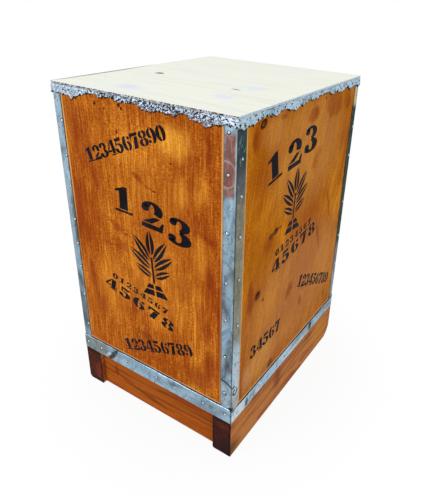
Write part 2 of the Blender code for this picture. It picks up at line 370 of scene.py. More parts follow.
@dataclass(frozen=True)
class Stain:
    """A soft-edged patch of another colour, an ellipsoid in the coordinates that it is read in."""

    centre: Point3
    radii: Point3
    colour: Colour
    strength: float = 1.0
    lean: float = 0.0
    core: float = 0.55
    facing: str = ""
    band: float = 0.0
    square: bool = False

    def over(self, graph: Graph, place: Socket, under: object) -> Socket:
        """Lay the patch over a colour.

        Args:
            graph: Where the nodes go.
            place: Coordinates, already made to wander where the edge is to be irregular.
            under: Colour below.

        Returns:
            The colour with the patch.
        """
        local = graph.local(place, self.centre, self.radii, self.lean)
        distance = graph.length(local)
        if self.square:
            spread = graph.vector("ABSOLUTE", local)
            flat = graph.math("MAXIMUM", graph.part(spread, "X"), graph.part(spread, "Y"))
            distance = graph.math("MAXIMUM", flat, graph.part(spread, "Z"))
        if self.band:
            off = graph.math("ABSOLUTE", graph.math("SUBTRACT", distance, 1.0))
            amount = graph.fade(off, 0.5 * self.band, self.band, self.strength, 0.0)
        else:
            amount = graph.fade(distance, self.core, 1.0, self.strength, 0.0)
        if self.facing:
            amount = graph.math("MULTIPLY", amount, graph.fade(graph.facing(self.facing), 0.6, 0.8))
        return graph.blend(amount, under, self.colour)


def stains_on(way: str, level: float, depth: float, *rows: tuple) -> tuple[Stain, ...]:
    """Stains in one plane, from rows in millimetres.

    Args:
        way: Axis that crosses the plane. With a sign, the stains show only on faces that look that way.
        level: Where the plane is on that axis, in metres.
        depth: Half of the stains' reach along that axis, in metres.
        rows: For each stain its place across and up, half width, half height, colour and strength, and then,
            where they aren't 0, 0.3, 0 and False, its lean, core, band and whether its outline is square.

    Returns:
        The stains, in the order of the rows.
    """
    axis = "XYZ".index(way[-1])
    usual = (0.0, 0.3, 0.0, False)
    stains = []
    for across, up, half_width, half_height, colour, strength, *more in rows:
        centre, radii = [across * MM, up * MM], [half_width * MM, half_height * MM]
        centre.insert(axis, level)
        radii.insert(axis, depth)
        lean, core, band, square = (*more, *usual[len(more):])
        facing = way if len(way) == 2 else ""
        stains.append(Stain(tuple(centre), tuple(radii), colour, strength, lean, core, facing, band, square))
    return tuple(stains)


@dataclass(frozen=True)
class Finish:
    """A surface finish: a name and how its shader is fed."""

    name: str

    def surface(self, graph: Graph) -> dict:
        """What the Principled inputs get."""
        raise NotImplementedError

    def material(self) -> bpy.types.Material:
        """Make the material.

        Returns:
            The material.
        """
        made = bpy.data.materials.new(self.name)
        graph = Graph.fresh(made)
        shader = graph.add("ShaderNodeBsdfPrincipled", self.surface(graph))
        graph.add("ShaderNodeOutputMaterial", {"Surface": shader.outputs["BSDF"]})
        return made


@dataclass(frozen=True)
class StainedPly(Finish):
    """Rotary-cut veneer under amber stain and satin lacquer."""

    turn: float
    seed: float
    dark: Colour
    middle: Colour
    light: Colour
    stains: tuple[Stain, ...] = ()
    rims: Point2 = (0.0, 0.0)
    rim_height: float = 0.0
    lean: float = 0.0
    # Strength of the painted highlight along the top of the lower strip.
    sill: float = 0.45
    # The next four fields set the painted highlight along the corner strips: full above a height, weaker below
    # it.
    edge_from: float = 0.0
    edge_highlight: Point2 = (0.68, 0.68)
    edge_least: float = 0.22
    edge_fade: float = 0.05
    clouds: float = 0.95
    lines: float = 1.0
    grain: float = 1.0
    weights: tuple[float, ...] = (0.36, 0.34, 1.00, 0.90)
    # Bands in from each rim for the painted highlight and the painted shadow line beside the strips, and the
    # same above the lower strip.
    highlight_band: Point2 = (0.0052, 0.0036)
    gap: Point2 = (0.0012, 0.0006)
    sill_highlight: Point2 = (0.0056, 0.0040)
    sill_shadow: Point2 = (0.0019, 0.0012)

    def grain_place(self, graph: Graph) -> Socket:
        """Coordinates in the side's frame, leaning with the grain.

        Args:
            graph: Where the nodes go.

        Returns:
            The coordinates.
        """
        feeds = {"Vector": graph.side_place(self.turn), "Rotation": (0.0, math.radians(-self.lean), 0.0)}
        leaning = graph.add("ShaderNodeMapping", feeds).outputs["Vector"]
        return graph.wander(leaning, 6.0, 0.016, self.seed + 1.0)

    def fibres(self, graph: Graph) -> Socket:
        """Fine fibres along the grain."""
        return graph.noise(self.grain_place(graph), (620.0, 14.0), self.seed + 7.7, 2.0)

    def tone(self, graph: Graph) -> Socket:
        """How light the veneer is, from broad clouds, streaks along the grain, fibres and cross marks.

        Args:
            graph: Where the nodes go.

        Returns:
            The tone, about MEAN_TONE.
        """
        place = self.grain_place(graph)
        clouds = graph.noise(place, (7.0, 4.0), self.seed, 3.0, 0.5)
        marks = (
            graph.noise(place, (52.0, 2.6), self.seed + 3.1, 4.0, 0.2),
            graph.noise(place, (260.0, 7.0), self.seed + 4.4, 2.0),
            self.fibres(graph),
            graph.noise(place, (190.0, 520.0), self.seed + 2.2, 2.0),
        )
        parts = [(clouds, self.clouds)]
        parts += [(mark, weight * self.lines) for mark, weight in zip(marks, self.weights)]
        total: Socket | float = MEAN_TONE - 0.5 * sum(weight for _, weight in parts)
        for part, weight in parts:
            total = graph.math("MULTIPLY_ADD", part, weight, total)
        return total

    def fine_grain(self, graph: Graph) -> Socket:
        """Tint of the fine lines and cross marks that show through the stains too.

        Args:
            graph: Where the nodes go.

        Returns:
            The tint, to multiply with.
        """
        place = self.grain_place(graph)
        lines = graph.noise(place, (330.0, 16.0), self.seed + 14.0, 2.0)
        cross = graph.noise(place, (170.0, 420.0), self.seed + 16.0, 2.0)
        mixed = graph.math("MULTIPLY_ADD", lines, 0.6, graph.math("MULTIPLY", cross, 0.4))
        return graph.tint((0.90, 0.81, 0.66), (1.18, 1.28, 1.50), mixed, 0.42, 0.58)

    def colour(self, graph: Graph) -> Socket:
        """Colour of the stained face.

        Args:
            graph: Where the nodes go.

        Returns:
            The colour.
        """
        place = graph.side_place(self.turn)
        colour = graph.ramp(self.tone(graph), ((0.34, self.dark), (0.56, self.middle), (0.80, self.light)))
        clouds = graph.noise(place, (15.0, 7.0), self.seed + 11.0, 3.0, 0.4)
        colour = graph.tint(colour, self.dark, clouds, 0.54, 0.70, 0.45)
        moved = graph.wander(place, 60.0, 0.015, self.seed)
        still = graph.wander(place, 220.0, 0.0030, self.seed)
        for stain in self.stains:
            small = max(stain.radii[0], stain.radii[2]) < SMALL_STAIN
            colour = stain.over(graph, still if small else moved, colour)
        colour = graph.blend(self.grain, colour, self.fine_grain(graph), "MULTIPLY")
        pores = graph.noise(place, (900.0, 45.0), self.seed + 5.0, 2.0)
        colour = graph.tint(colour, self.dark, pores, 0.60, 0.74, 0.5)
        return self.edges(graph, place, colour)

    def edges(self, graph: Graph, place: Socket, colour: Socket) -> Socket:
        """Lay a painted highlight along the strips' edges and a painted shadow line in the gap beside them over
        the colour.

        Args:
            graph: Where the nodes go.
            place: Place in the side's frame.
            colour: Colour below.

        Returns:
            The colour with the edges.
        """
        height = graph.part(place, "Z")
        for sign, rim, edge in zip((-1.0, 1.0), self.rims, self.edge_highlight):
            if rim:
                along = graph.math("MULTIPLY", graph.part(place, "X"), sign)
                low, high = self.edge_from - self.edge_fade, self.edge_from + self.edge_fade
                upper = graph.fade(height, low, high, min(self.edge_least, edge), edge)
                # Painted highlight along the strip's edge, then a painted shadow line in the gap beside the
                # strip.
                start, end = (rim - part for part in self.highlight_band)
                lit = graph.math("MULTIPLY", graph.fade(along, start, end), upper)
                start, end = (rim - part for part in self.gap)
                colour = graph.tint(graph.blend(lit, colour, EDGE_HIGHLIGHT), PITCH, along, start, end, GAP_SHADOW)
        if self.rim_height:
            # Painted highlight above the lower strip, then a painted shadow line in the gap over it.
            start, end = (self.rim_height + part for part in self.sill_highlight)
            colour = graph.tint(colour, CREAM_HIGHLIGHT, height, start, end, self.sill)
            start, end = (self.rim_height + part for part in self.sill_shadow)
            colour = graph.tint(colour, PITCH, height, start, end, GAP_SHADOW)
        return colour

    def surface(self, graph: Graph) -> dict:
        """Make the nodes.

        Args:
            graph: Where the nodes go.

        Returns:
            What the Principled inputs get.
        """
        fibres = self.fibres(graph)
        return {
            "Base Color": self.colour(graph),
            "Roughness": graph.fade(fibres, 0.3, 0.7, 0.50, 0.40),
            "Normal": graph.bump(fibres, 0.25, 0.0004),
            "Specular IOR Level": 0.006,
        }


@dataclass(frozen=True)
class Ink(Finish):
    """Stencil ink on stained veneer, worn through to the wood along the grain."""

    under: StainedPly
    colour: Colour = (0.006, 0.006, 0.008)
    faded: Colour = (0.011, 0.011, 0.017)

    def surface(self, graph: Graph) -> dict:
        """Make the nodes.

        Args:
            graph: Where the nodes go.

        Returns:
            What the Principled inputs get.
        """
        place = graph.side_place(self.under.turn)
        cast = graph.noise(place, 14.0, 5.0)
        ink = graph.tint(self.colour, self.faded, cast, 0.46, 0.60)
        worn = graph.noise(place, (330.0, 60.0), 9.0, 4.0)
        colour = graph.tint(ink, self.under.colour(graph), worn, 0.68, 0.76, 0.7)
        return {"Base Color": colour, "Roughness": 0.55, "Specular IOR Level": 0.02}


@dataclass(frozen=True)
class PalePly(Finish):
    """Bare, bleached plywood with faint grain along X, a few knots and a weathered edge, its right face
    lightened as a painted highlight.
    """

    face: Colour = (0.84, 0.86, 0.77)
    grain: Colour = (0.76, 0.74, 0.62)
    edge: Colour = (0.30, 0.28, 0.32)
    stains: tuple[Stain, ...] = ()

    def surface(self, graph: Graph) -> dict:
        """Make the nodes.

        Args:
            graph: Where the nodes go.

        Returns:
            What the Principled inputs get.
        """
        place = graph.object_place()
        grain = graph.noise(place, (7.0, 120.0, 120.0), 2.0, 4.0, 0.5)
        colour = graph.tint(self.face, self.grain, grain, 0.45, 0.75, 0.55)
        clouds = graph.noise(place, (9.0, 22.0, 9.0), 4.0, 2.0)
        colour = graph.tint(colour, (0.76, 0.79, 0.80), clouds, 0.5, 0.75, 0.35)
        still = graph.wander(place, 90.0, 0.004, 1.0)
        moved = graph.wander(place, 45.0, 0.030, 1.0)
        for stain in self.stains:
            colour = stain.over(graph, still if min(stain.radii) < SMALL_STAIN else moved, colour)
        flecks = graph.noise(place, (270.0, 330.0), 3.0, 3.0, 0.6)
        edge = graph.tint(self.edge, (0.46, 0.50, 0.56), flecks, 0.52, 0.60)
        edge = graph.tint(edge, (0.015, 0.015, 0.020), flecks, 0.50, 0.44)
        # The right-facing edge is lightened: a painted highlight.
        edge = graph.tint(edge, (0.46, 0.56, 0.64), graph.facing("+X"), 0.5, 0.8, 0.75)
        colour = graph.tint(edge, colour, graph.facing("Z"), 0.5, 0.8)
        return {
            "Base Color": colour,
            "Roughness": graph.fade(grain, 0.3, 0.7, 0.62, 0.74),
            "Normal": graph.bump(grain, 0.2, 0.0005),
            "Specular IOR Level": 0.3,
        }


@dataclass(frozen=True)
class SawnTimber(Finish):
    """Sawn softwood with growth rings about an axis that runs along the piece, and darker ends."""

    axis: str
    pith: Point3
    early: Colour
    late: Colour
    end: Colour | None = None
    end_rim: Colour = (0.012, 0.006, 0.005)
    centre: Point3 = (0.0, 0.0, 0.0)
    half: Point3 = (1.0, 1.0, 1.0)
    ring: float = 0.0100
    contrast: float = 0.85
    swing: float = 0.045
    roughness: float = 0.55
    seed: float = 0.0
    stains: tuple[Stain, ...] = ()

    def scales(self, along: float, across: float) -> Point3:
        """One number along the piece and another across it."""
        return tuple(along if name == self.axis else across for name in "XYZ")

    def stained(self, graph: Graph, place: Socket, colour: Socket) -> Socket:
        """Lay the stains over a colour.

        Args:
            graph: Where the nodes go.
            place: The coordinates.
            colour: Colour below.

        Returns:
            The colour.
        """
        for stain in self.stains:
            colour = stain.over(graph, place, colour)
        return colour

    def end_grain(self, graph: Graph, place: Socket, moved: Socket, tone: Socket) -> Socket:
        """Colour of the sawn ends.

        Args:
            graph: Where the nodes go.
            place: Place in the model's frame.
            moved: The same place, made to wander.
            tone: How dark the growth rings are.

        Returns:
            The colour, darker to its rim.
        """
        late = tuple(0.4 * part for part in self.end)
        end = self.stained(graph, moved, graph.blend(graph.math("ADD", tone, 0.0, clamp=True), self.end, late))
        end = graph.tint(end, self.end_rim, graph.noise(place, 260.0, self.seed, 4.0), 0.42, 0.66, 0.6)
        spread = graph.vector("ABSOLUTE", graph.local(moved, self.centre, self.half))
        rim = graph.math("MAXIMUM", *(graph.part(spread, name) for name in "XYZ" if name != self.axis))
        return graph.tint(end, self.end_rim, rim, 0.72, 1.00, 0.95)

    def surface(self, graph: Graph) -> dict:
        """Make the nodes.

        Args:
            graph: Where the nodes go.

        Returns:
            What the Principled inputs get.
        """
        place = graph.object_place()
        slow = self.scales(2.5, 22.0)
        centred = graph.vector("SUBTRACT", place, self.pith)
        distance = graph.length(graph.vector("MULTIPLY", centred, self.scales(0.0, 1.0)))
        swing = graph.noise(place, slow, self.seed, 3.0, 0.4)
        distance = graph.math("MULTIPLY_ADD", swing, self.swing, distance)
        phase = graph.math("FRACT", graph.math("DIVIDE", distance, self.ring))
        rings = graph.math("MULTIPLY", graph.fade(phase, 0.25, 0.92), graph.fade(phase, 1.0, 0.93))
        fibres = graph.noise(place, self.scales(18.0, 620.0), self.seed + 4.0, 3.0)
        patch = graph.noise(place, slow, self.seed + 8.0, 2.0)
        tone = graph.math("MULTIPLY_ADD", rings, self.contrast, graph.math("MULTIPLY_ADD", fibres, 1.0, -0.58))
        tone = graph.math("MULTIPLY_ADD", patch, 1.3, graph.math("ADD", tone, -0.62))
        moved = graph.wander(place, 60.0, 0.010, self.seed)
        colour = graph.blend(graph.math("ADD", tone, 0.2, clamp=True), self.early, self.late)
        colour = self.stained(graph, moved, colour)
        if self.end is not None:
            end = self.end_grain(graph, place, moved, tone)
            colour = graph.tint(colour, end, graph.facing(self.axis), 0.45, 0.75)
        return {
            "Base Color": colour,
            "Roughness": self.roughness,
            "Normal": graph.bump(graph.math("ADD", rings, fibres), 0.35, 0.0006),
            "Specular IOR Level": 0.02,
        }


@dataclass(frozen=True)
class Tin(Finish):
    """Old tinplate: blue-grey metal with stains, streaks, scratches and dirt in the folds; its broad clouds,
    streaks and patches are partly painted reflections.
    """

    seam: float = 0.0022
    along_z: bool = True
    stains: tuple[Stain, ...] = ()
    fixed: tuple[Stain, ...] = ()

    def surface(self, graph: Graph) -> dict:
        """Make the nodes.

        Args:
            graph: Where the nodes go.

        Returns:
            What the Principled inputs get.
        """
        place = graph.object_place()
        slow, quick = (11.0, 34.0) if self.along_z else (34.0, 13.0)
        # Broad light and dark clouds and streaks: the tin's own tarnish and partly painted reflections of
        # surroundings.
        clouds = graph.noise(place, (quick, quick, slow), 1.0, 4.0, 0.6)
        colour = graph.ramp(clouds, (
            (0.36, (0.085, 0.105, 0.125)), (0.45, (0.160, 0.245, 0.310)), (0.54, (0.235, 0.360, 0.455)),
            (0.66, (0.340, 0.475, 0.580)),
        ))
        run = (190.0, 190.0, 12.0) if self.along_z else (24.0, 24.0, 260.0)
        streaks = graph.noise(place, run, 6.0, 3.0)
        colour = graph.tint(colour, (0.38, 0.46, 0.52), streaks, 0.52, 0.72, 0.35)
        moved = graph.wander(place, 90.0, 0.010, 3.0)
        for stain in self.stains:
            colour = stain.over(graph, moved, colour)
        still = graph.wander(place, 110.0, 0.0012, 5.0)
        for stain in self.fixed:
            if not stain.band:
                colour = stain.over(graph, still, colour)
        swirls = graph.noise(place, (46.0, 26.0), 12.0, 3.0, 2.2)
        colour = graph.tint(colour, (0.050, 0.065, 0.075), swirls, 0.55, 0.61, 0.34)
        colour = graph.tint(colour, (0.42, 0.47, 0.48), swirls, 0.45, 0.41, 0.16)
        specks = graph.noise(place, 300.0, 8.0, 3.0)
        colour = graph.tint(colour, (0.03, 0.04, 0.05), specks, 0.64, 0.68, 0.80)
        for stain in self.fixed:
            if stain.band or stain.strength >= 1.0:
                colour = stain.over(graph, still, colour)
        corner = graph.math("MINIMUM", *(
            graph.math("SUBTRACT", graph.math("ABSOLUTE", graph.part(place, axis)), size / 2 - self.seam)
            for axis, size in (("X", WIDTH), ("Y", DEPTH))
        ))
        colour = graph.tint(colour, (0.020, 0.025, 0.035), corner, -0.0004, 0.0004, 0.85)
        dents = graph.noise(place, (70.0, 50.0), 2.0, 3.0)
        fine = graph.noise(place, (300.0, 40.0), 4.0, 3.0)
        return {
            "Base Color": colour,
            "Metallic": graph.fade(colour, 0.03, 0.11, 0.05, 0.80),
            "Roughness": graph.fade(clouds, 0.35, 0.65, 0.42, 0.28),
            "Normal": graph.bump(fine, 0.12, 0.0005, graph.bump(dents, 0.35, 0.0015)),
            "Specular IOR Level": 0.02,
        }


@dataclass(frozen=True)
class CrumpledFoil(Finish):
    """Lead-coloured foil, crumpled, with black flecks."""

    speckled: bool = True
    # The first ramp, for the sides, is lighter and bluer than the second, for the front and back: a painted
    # difference of light between the faces.
    shades: tuple[tuple[Colour, ...], ...] = (
        ((0.26, 0.40, 0.50), (0.36, 0.53, 0.64), (0.44, 0.58, 0.68)),
        ((0.27, 0.36, 0.43), (0.36, 0.46, 0.56), (0.44, 0.48, 0.59)),
    )
    fleck: Colour = (0.008, 0.009, 0.016)
    fewer: tuple[Point3, ...] = ((0.145, 0.185, 0.07), (-0.08, -0.14, 0.08), (0.02, 0.08, -0.026))

    def flecks(self, graph: Graph, place: Socket, frontal: Socket, colour: Socket) -> Socket:
        """Lay black flecks, dots, pale spots that are painted glints, and a faint warm cast over the foil.

        Args:
            graph: Where the nodes go.
            place: Place in the model's frame.
            frontal: How squarely the surface faces the front or the back.
            colour: Colour below.

        Returns:
            The speckled colour.
        """
        across = graph.part(place, "X")
        near: Socket | float = 0.0
        for start, end, amount in self.fewer:
            near = graph.math("ADD", near, graph.fade(across, start, end, 0.0, amount))
        grit = graph.noise(place, (250.0, 320.0), 2.0, 3.0, 0.9)
        limit = graph.math("MULTIPLY_ADD", frontal, graph.math("ADD", near, -0.112), 0.600)
        colour = graph.tint(colour, self.fleck, graph.math("SUBTRACT", grit, limit), -0.004, 0.008, 0.98)
        dots = graph.cells(graph.wander(place, 300.0, 0.0012, 9.0), 165.0, 4.0)
        least = graph.math("ADD", near, 0.50)
        chosen = graph.math("GREATER_THAN", graph.part(dots.outputs["Color"], "X"), least)
        size = graph.fade(frontal, 0.2, 0.8, 0.40, 0.27)
        inside = graph.fade(graph.math("SUBTRACT", dots.outputs["Distance"], size), 0.0, -0.07, 0.0, 0.97)
        colour = graph.blend(graph.math("MULTIPLY", chosen, inside), colour, (0.006, 0.007, 0.012))
        # Pale spots: painted glints on the crumpled foil.
        colour = graph.tint(colour, (0.62, 0.68, 0.76), graph.noise(place, 260.0, 13.0, 3.0), 0.57, 0.64, 0.55)
        low = graph.fade(graph.part(place, "Z"), 0.684, 0.674, 0.0, 0.35)
        return graph.blend(graph.math("MULTIPLY", low, frontal), colour, (0.36, 0.30, 0.31))

    def surface(self, graph: Graph) -> dict:
        """Make the nodes.

        Args:
            graph: Where the nodes go.

        Returns:
            What the Principled inputs get.
        """
        place = graph.object_place()
        cast = graph.noise(place, 40.0, 5.0, 3.0)
        frontal = graph.fade(graph.facing("Y"), 0.3, 0.8)
        ramps = (graph.ramp(cast, tuple(zip((0.38, 0.50, 0.62), shades))) for shades in self.shades)
        # Sides and front get their own ramps: painted light that differs by face.
        colour = graph.blend(frontal, *ramps)
        creases = graph.cells(graph.wander(place, 120.0, 0.004, 2.0), 210.0, 1.0, "DISTANCE_TO_EDGE").outputs[0]
        facets = graph.noise(place, 260.0, 7.0, 4.0)
        if self.speckled:
            colour = self.flecks(graph, place, frontal, colour)
        height = graph.math("ADD", graph.math("MULTIPLY", creases, 0.6), facets)
        return {
            "Base Color": colour,
            "Metallic": graph.fade(colour, 0.02, 0.12, 0.05, 0.60),
            "Roughness": graph.fade(facets, 0.3, 0.7, 0.38, 0.52),
            "Specular IOR Level": 0.05,
            "Normal": graph.bump(height, 0.55, 0.0016),
        }


@dataclass(frozen=True)
class Steel(Finish):
    """Bright steel with light tarnish."""

    light: Colour = (0.74, 0.78, 0.80)
    tarnish: Colour = (0.34, 0.33, 0.30)

    def surface(self, graph: Graph) -> dict:
        """Make the nodes.

        Args:
            graph: Where the nodes go.

        Returns:
            What the Principled inputs get.
        """
        place = graph.object_place()
        spots = graph.noise(place, 500.0, 1.0, 3.0)
        return {
            "Base Color": graph.tint(self.light, self.tarnish, spots, 0.55, 0.72, 0.7),
            "Metallic": 0.95,
            "Roughness": 0.22,
            "Normal": graph.bump(spots, 0.15, 0.0003),
        }


@dataclass(frozen=True)
class ShadowSheet(Finish):
    """Near-black matt sheet, laid behind the foil's torn edge as a painted shadow line."""

    colour: Colour = (0.014, 0.009, 0.007)

    def surface(self, graph: Graph) -> dict:
        """Make the nodes.

        Args:
            graph: Where the nodes go.

        Returns:
            What the Principled inputs get.
        """
        fuzz = graph.noise(graph.object_place(), 400.0, 1.0, 2.0)
        return {
            "Base Color": graph.tint(self.colour, (0.060, 0.030, 0.018), fuzz, 0.45, 0.70),
            "Roughness": 0.95,
            "Specular IOR Level": 0.01,
        }


SMALL_STAIN = 0.0125
MEAN_TONE = 0.49
# Strength of the painted shadow line in the gaps beside the strips, and colours of the painted highlights along
# their edges.
GAP_SHADOW = 0.92
EDGE_HIGHLIGHT = (0.66, 0.38, 0.13)
CREAM_HIGHLIGHT = (0.62, 0.42, 0.26)
RUSSET = (0.20, 0.030, 0.005)
UMBER = (0.075, 0.018, 0.005)
# Dark pitch marks, also the colour of the painted shadow line beside the strips.
PITCH = (0.018, 0.006, 0.003)
AMBER = (0.64, 0.245, 0.022)
TAWNY = (0.235, 0.050, 0.002)
HONEY = (0.43, 0.185, 0.060)
OXBLOOD = (0.16, 0.030, 0.012)
PALE_HONEY = (0.55, 0.265, 0.065)
GOLD = (0.76, 0.34, 0.035)

FRONT_STAINS = stains_on(
    "Y", -DEPTH / 2, 1.0,
    (30, 520, 95, 150, AMBER, 0.18), (78, 632, 52, 40, GOLD, 0.6, 0, 0.2), (133, 563, 24, 40, AMBER, 0.35),
    (91, 548, 26, 38, AMBER, 0.4), (131, 440, 22, 60, AMBER, 0.34), (-34, 650, 26, 22, RUSSET, 0.24),
    (-102, 500, 22, 34, RUSSET, 0.26), (-48, 513, 24, 36, AMBER, 0.28),
    (18, 468, 58, 100, RUSSET, 0.28, 0, 0.2), (-14, 318, 36, 54, RUSSET, 0.56, 0, 0.2),
    (86, 358, 30, 46, RUSSET, 0.64, 0, 0.2), (130, 325, 24, 36, RUSSET, 0.34, 0, 0.2),
    (-160, 490, 18, 36, RUSSET, 0.38), (-26, 200, 34, 26, RUSSET, 0.26), (-74, 262, 28, 36, RUSSET, 0.48),
    (40, 350, 110, 120, AMBER, 0.25), (-90, 300, 50, 110, AMBER, 0.3), (-176, 440, 26, 150, RUSSET, 0.75),
    (-160, 640, 30, 60, RUSSET, 0.4), (-68, 442, 36, 11, RUSSET, 0.66, -26), (-110, 528, 14, 30, RUSSET, 0.68),
    (-140, 596, 40, 80, RUSSET, 0.45), (6, 560, 34, 24, RUSSET, 0.34, -35, 0.1),
    (-4, 554, 19, 7, RUSSET, 0.72, -35), (20, 540, 17, 5, RUSSET, 0.62, -20), (153, 400, 14, 40, RUSSET, 0.83),
    (-150, 310, 16, 60, RUSSET, 0.68), (-37, 262, 14, 34, RUSSET, 0.6), (-81, 640, 7, 60, RUSSET, 0.5),
    (148, 636, 9, 50, RUSSET, 0.85), (120, 590, 16, 60, RUSSET, 0.45), (27, 567, 20, 5, RUSSET, 0.42, -52),
    (123, 500, 11, 32, RUSSET, 0.6, 5), (150, 482, 32, 24, RUSSET, 0.3, -24, 0.1),
    (148, 479, 27, 9, RUSSET, 0.74, -24), (-60, 402, 22, 20, RUSSET, 0.6), (-136, 235, 24, 40, RUSSET, 0.34),
    (-8, 208, 34, 16, UMBER, 0.35, -20), (145, 284, 16, 40, RUSSET, 0.65), (173, 300, 9, 190, RUSSET, 0.8),
    (-40, 165, 60, 22, RUSSET, 0.35, 10), (124, 165, 44, 40, RUSSET, 0.75), (150, 205, 24, 60, RUSSET, 0.82),
    (-37, 675, 4.6, 5.4, PITCH, 0.95, 0, 0.4), (-32, 670, 3.6, 4, PITCH, 0.95, 0, 0.4),
    (-142, 672, 5, 4, PITCH, 0.85), (65, 677, 10, 4, PITCH, 0.8), (-95, 670, 3, 3.6, PITCH, 1, 0, 0.6),
    (-87, 673, 1.5, 1.5, PITCH, 0.9, 0, 0.5), (-73, 664, 2.4, 2.6, PITCH, 0.9, 0, 0.5),
    (-83, 662, 2.2, 2.2, UMBER, 0.9, 0, 0.5), (-47, 628, 2.4, 4.4, PITCH, 1, 0, 0.6),
    (-46, 567, 1.8, 2.6, UMBER, 1, 0, 0.5), (72, 596, 1.8, 3, PITCH, 1, 0, 0.5),
    (33, 537, 6, 1.6, PITCH, 0.9, 8, 0.5), (-44, 432, 5, 1.5, PITCH, 0.8, 8, 0.5),
    (174, 471, 2, 5, PITCH, 1, 0, 0.5),
)

RIGHT_STAINS_AND_SHADE = stains_on(
    "Y", -DEPTH / 2, 1.0,
    (20, 270, 300, 190, HONEY, 0.5, 0, 0.4), (20, 580, 200, 160, PALE_HONEY, 0.38, 0, 0.35),
    (-125, 648, 60, 46, PALE_HONEY, 0.34, 0, 0.2), (-130, 175, 80, 64, PALE_HONEY, 0.52),
    (-172, 390, 46, 115, TAWNY, 0.34), (-118, 420, 52, 60, TAWNY, 0.32, 0, 0.2),
    (-185, 165, 30, 50, (0.44, 0.22, 0.10), 0.5, 0, 0.2), (-165, 669, 12.4, 9, UMBER, 0.7, 10, 0.2),
    (-165, 669, 7.8, 5.2, PITCH, 0.9, 24, 0.3, 0.5), (-163, 670, 2.6, 2.6, PITCH, 0.9),
    (117, 652, 48, 28, TAWNY, 0.54, -6, 0.65), (104, 640, 10, 26, RUSSET, 0.42, -30, 0.2),
    (138, 648, 12, 22, RUSSET, 0.38, -30, 0.2), (186, 650, 30, 22, TAWNY, 0.6, -30),
    (194, 645, 34, 3.4, UMBER, 0.62, 40, 0.2), (176, 650, 22, 2.8, RUSSET, 0.6, 36, 0.2),
    (22, 649, 30, 19, TAWNY, 0.62, 8, 0.55), (30, 652, 14, 16, RUSSET, 0.55, -20, 0.2),
    (-98, 669, 16, 7, UMBER, 0.45), (46, 552, 18, 32, TAWNY, 0.55, -20, 0.2),
    (64, 570, 12, 14, RUSSET, 0.35, 0, 0.2), (-188, 646, 12, 26, RUSSET, 0.7), (68, 673, 4, 5, PITCH, 0.8),
    (-126, 438, 22, 24, RUSSET, 0.6, 20, 0.1), (-119, 452, 12.4, 8, UMBER, 0.8, 8, 0.55),
    (-86, 458, 9, 6, UMBER, 0.6, 0, 0.4), (-102, 456, 12.4, 8.5, UMBER, 0.88, 6, 0.55),
    (-100, 459, 9, 4.5, PITCH, 0.65, 8, 0.4), (140, 430, 7, 60, RUSSET, 0.55, 20),
    (98, 365, 8, 60, RUSSET, 0.5, 20), (-160, 347, 18, 18, RUSSET, 0.7, 30, 0.1),
    (-158, 344, 12.4, 9, UMBER, 0.85, 0, 0.45), (-157, 349, 12, 5.5, PITCH, 0.92, 6, 0.4),
    (-159, 339, 8, 5, UMBER, 0.85), (-136, 324, 6, 7, UMBER, 0.8, 20, 0.2), (-13, 284, 3, 8, UMBER, 0.6),
    (-28, 284, 28, 16, RUSSET, 0.65, 60), (38, 262, 7, 16, UMBER, 0.45, 10), (34, 225, 14, 24, RUSSET, 0.5, 15),
    (-184, 355, 14, 56, RUSSET, 0.7), (173, 168, 10, 20, RUSSET, 0.6), (-92, 134, 18, 14, UMBER, 0.7, 40),
    # The last row darkens a band along the far strip's edge: painted shade beside the strip.
    (-208, 150, 10, 40, RUSSET, 0.4), (219, 500, 5, 230, UMBER, 0.85, 0, 0.5),
)

RAIL_STAINS = stains_on(
    "Y", -DEPTH / 2, 1.0,
    (-118, 55, 6, 24, UMBER, 0.6, 5), (-88, 42, 34, 10, RUSSET, 0.6, -8), (-15, 28, 100, 8, UMBER, 0.55, -7),
    (80, 72, 100, 8, RUSSET, 0.6, 4), (110, 24, 70, 8, RUSSET, 0.45, 5),
    (10, 52, 130, 7, (0.46, 0.130, 0.009), 0.25, 2),
)

RUNNER_STAINS = (
    *stains_on(
        "X", 0.200, 0.060,
        (-52, 60, 26, 36, OXBLOOD, 0.7, 25, 0.2), (30, 40, 50, 6, RUSSET, 0.55, 0, 0.2),
        (-150, 55, 70, 5, RUSSET, 0.4, 0, 0.2), (175, 50, 75, 50, (0.50, 0.190, 0.020), 0.65),
        (105, 75, 30, 7, UMBER, 0.55, 0, 0.2),
    ),
    *stains_on(
        "Y", -0.245, 0.060,
        (-160, 35, 28, 40, OXBLOOD, 0.75), (185, 78, 30, 16, (0.10, 0.020, 0.008), 0.7),
        (195, 20, 34, 36, (0.018, 0.008, 0.010), 0.75, 0, 0.2),
    ),
)

OTHER_STAINS = stains_on(
    "Y", -DEPTH / 2, 1.0,
    (-60, 480, 90, 130, AMBER, 0.35), (110, 330, 30, 80, RUSSET, 0.35), (-120, 560, 9, 8, UMBER, 0.8, 0, 0.15),
    (70, 250, 7, 10, UMBER, 0.8, 20, 0.15), (20, 620, 12, 50, RUSSET, 0.4, 10),
)

RUST = (0.215, 0.064, 0.038)
SOOT = (0.004, 0.004, 0.004)
TEAL = (0.010, 0.030, 0.026)
SLATE = (0.055, 0.060, 0.062)
OLIVE = (0.205, 0.180, 0.100)
MAUVE = (0.045, 0.042, 0.060)
ICE = (0.42, 0.54, 0.64)
SAND = (0.36, 0.33, 0.28)
SCRATCH = (0.022, 0.026, 0.034)

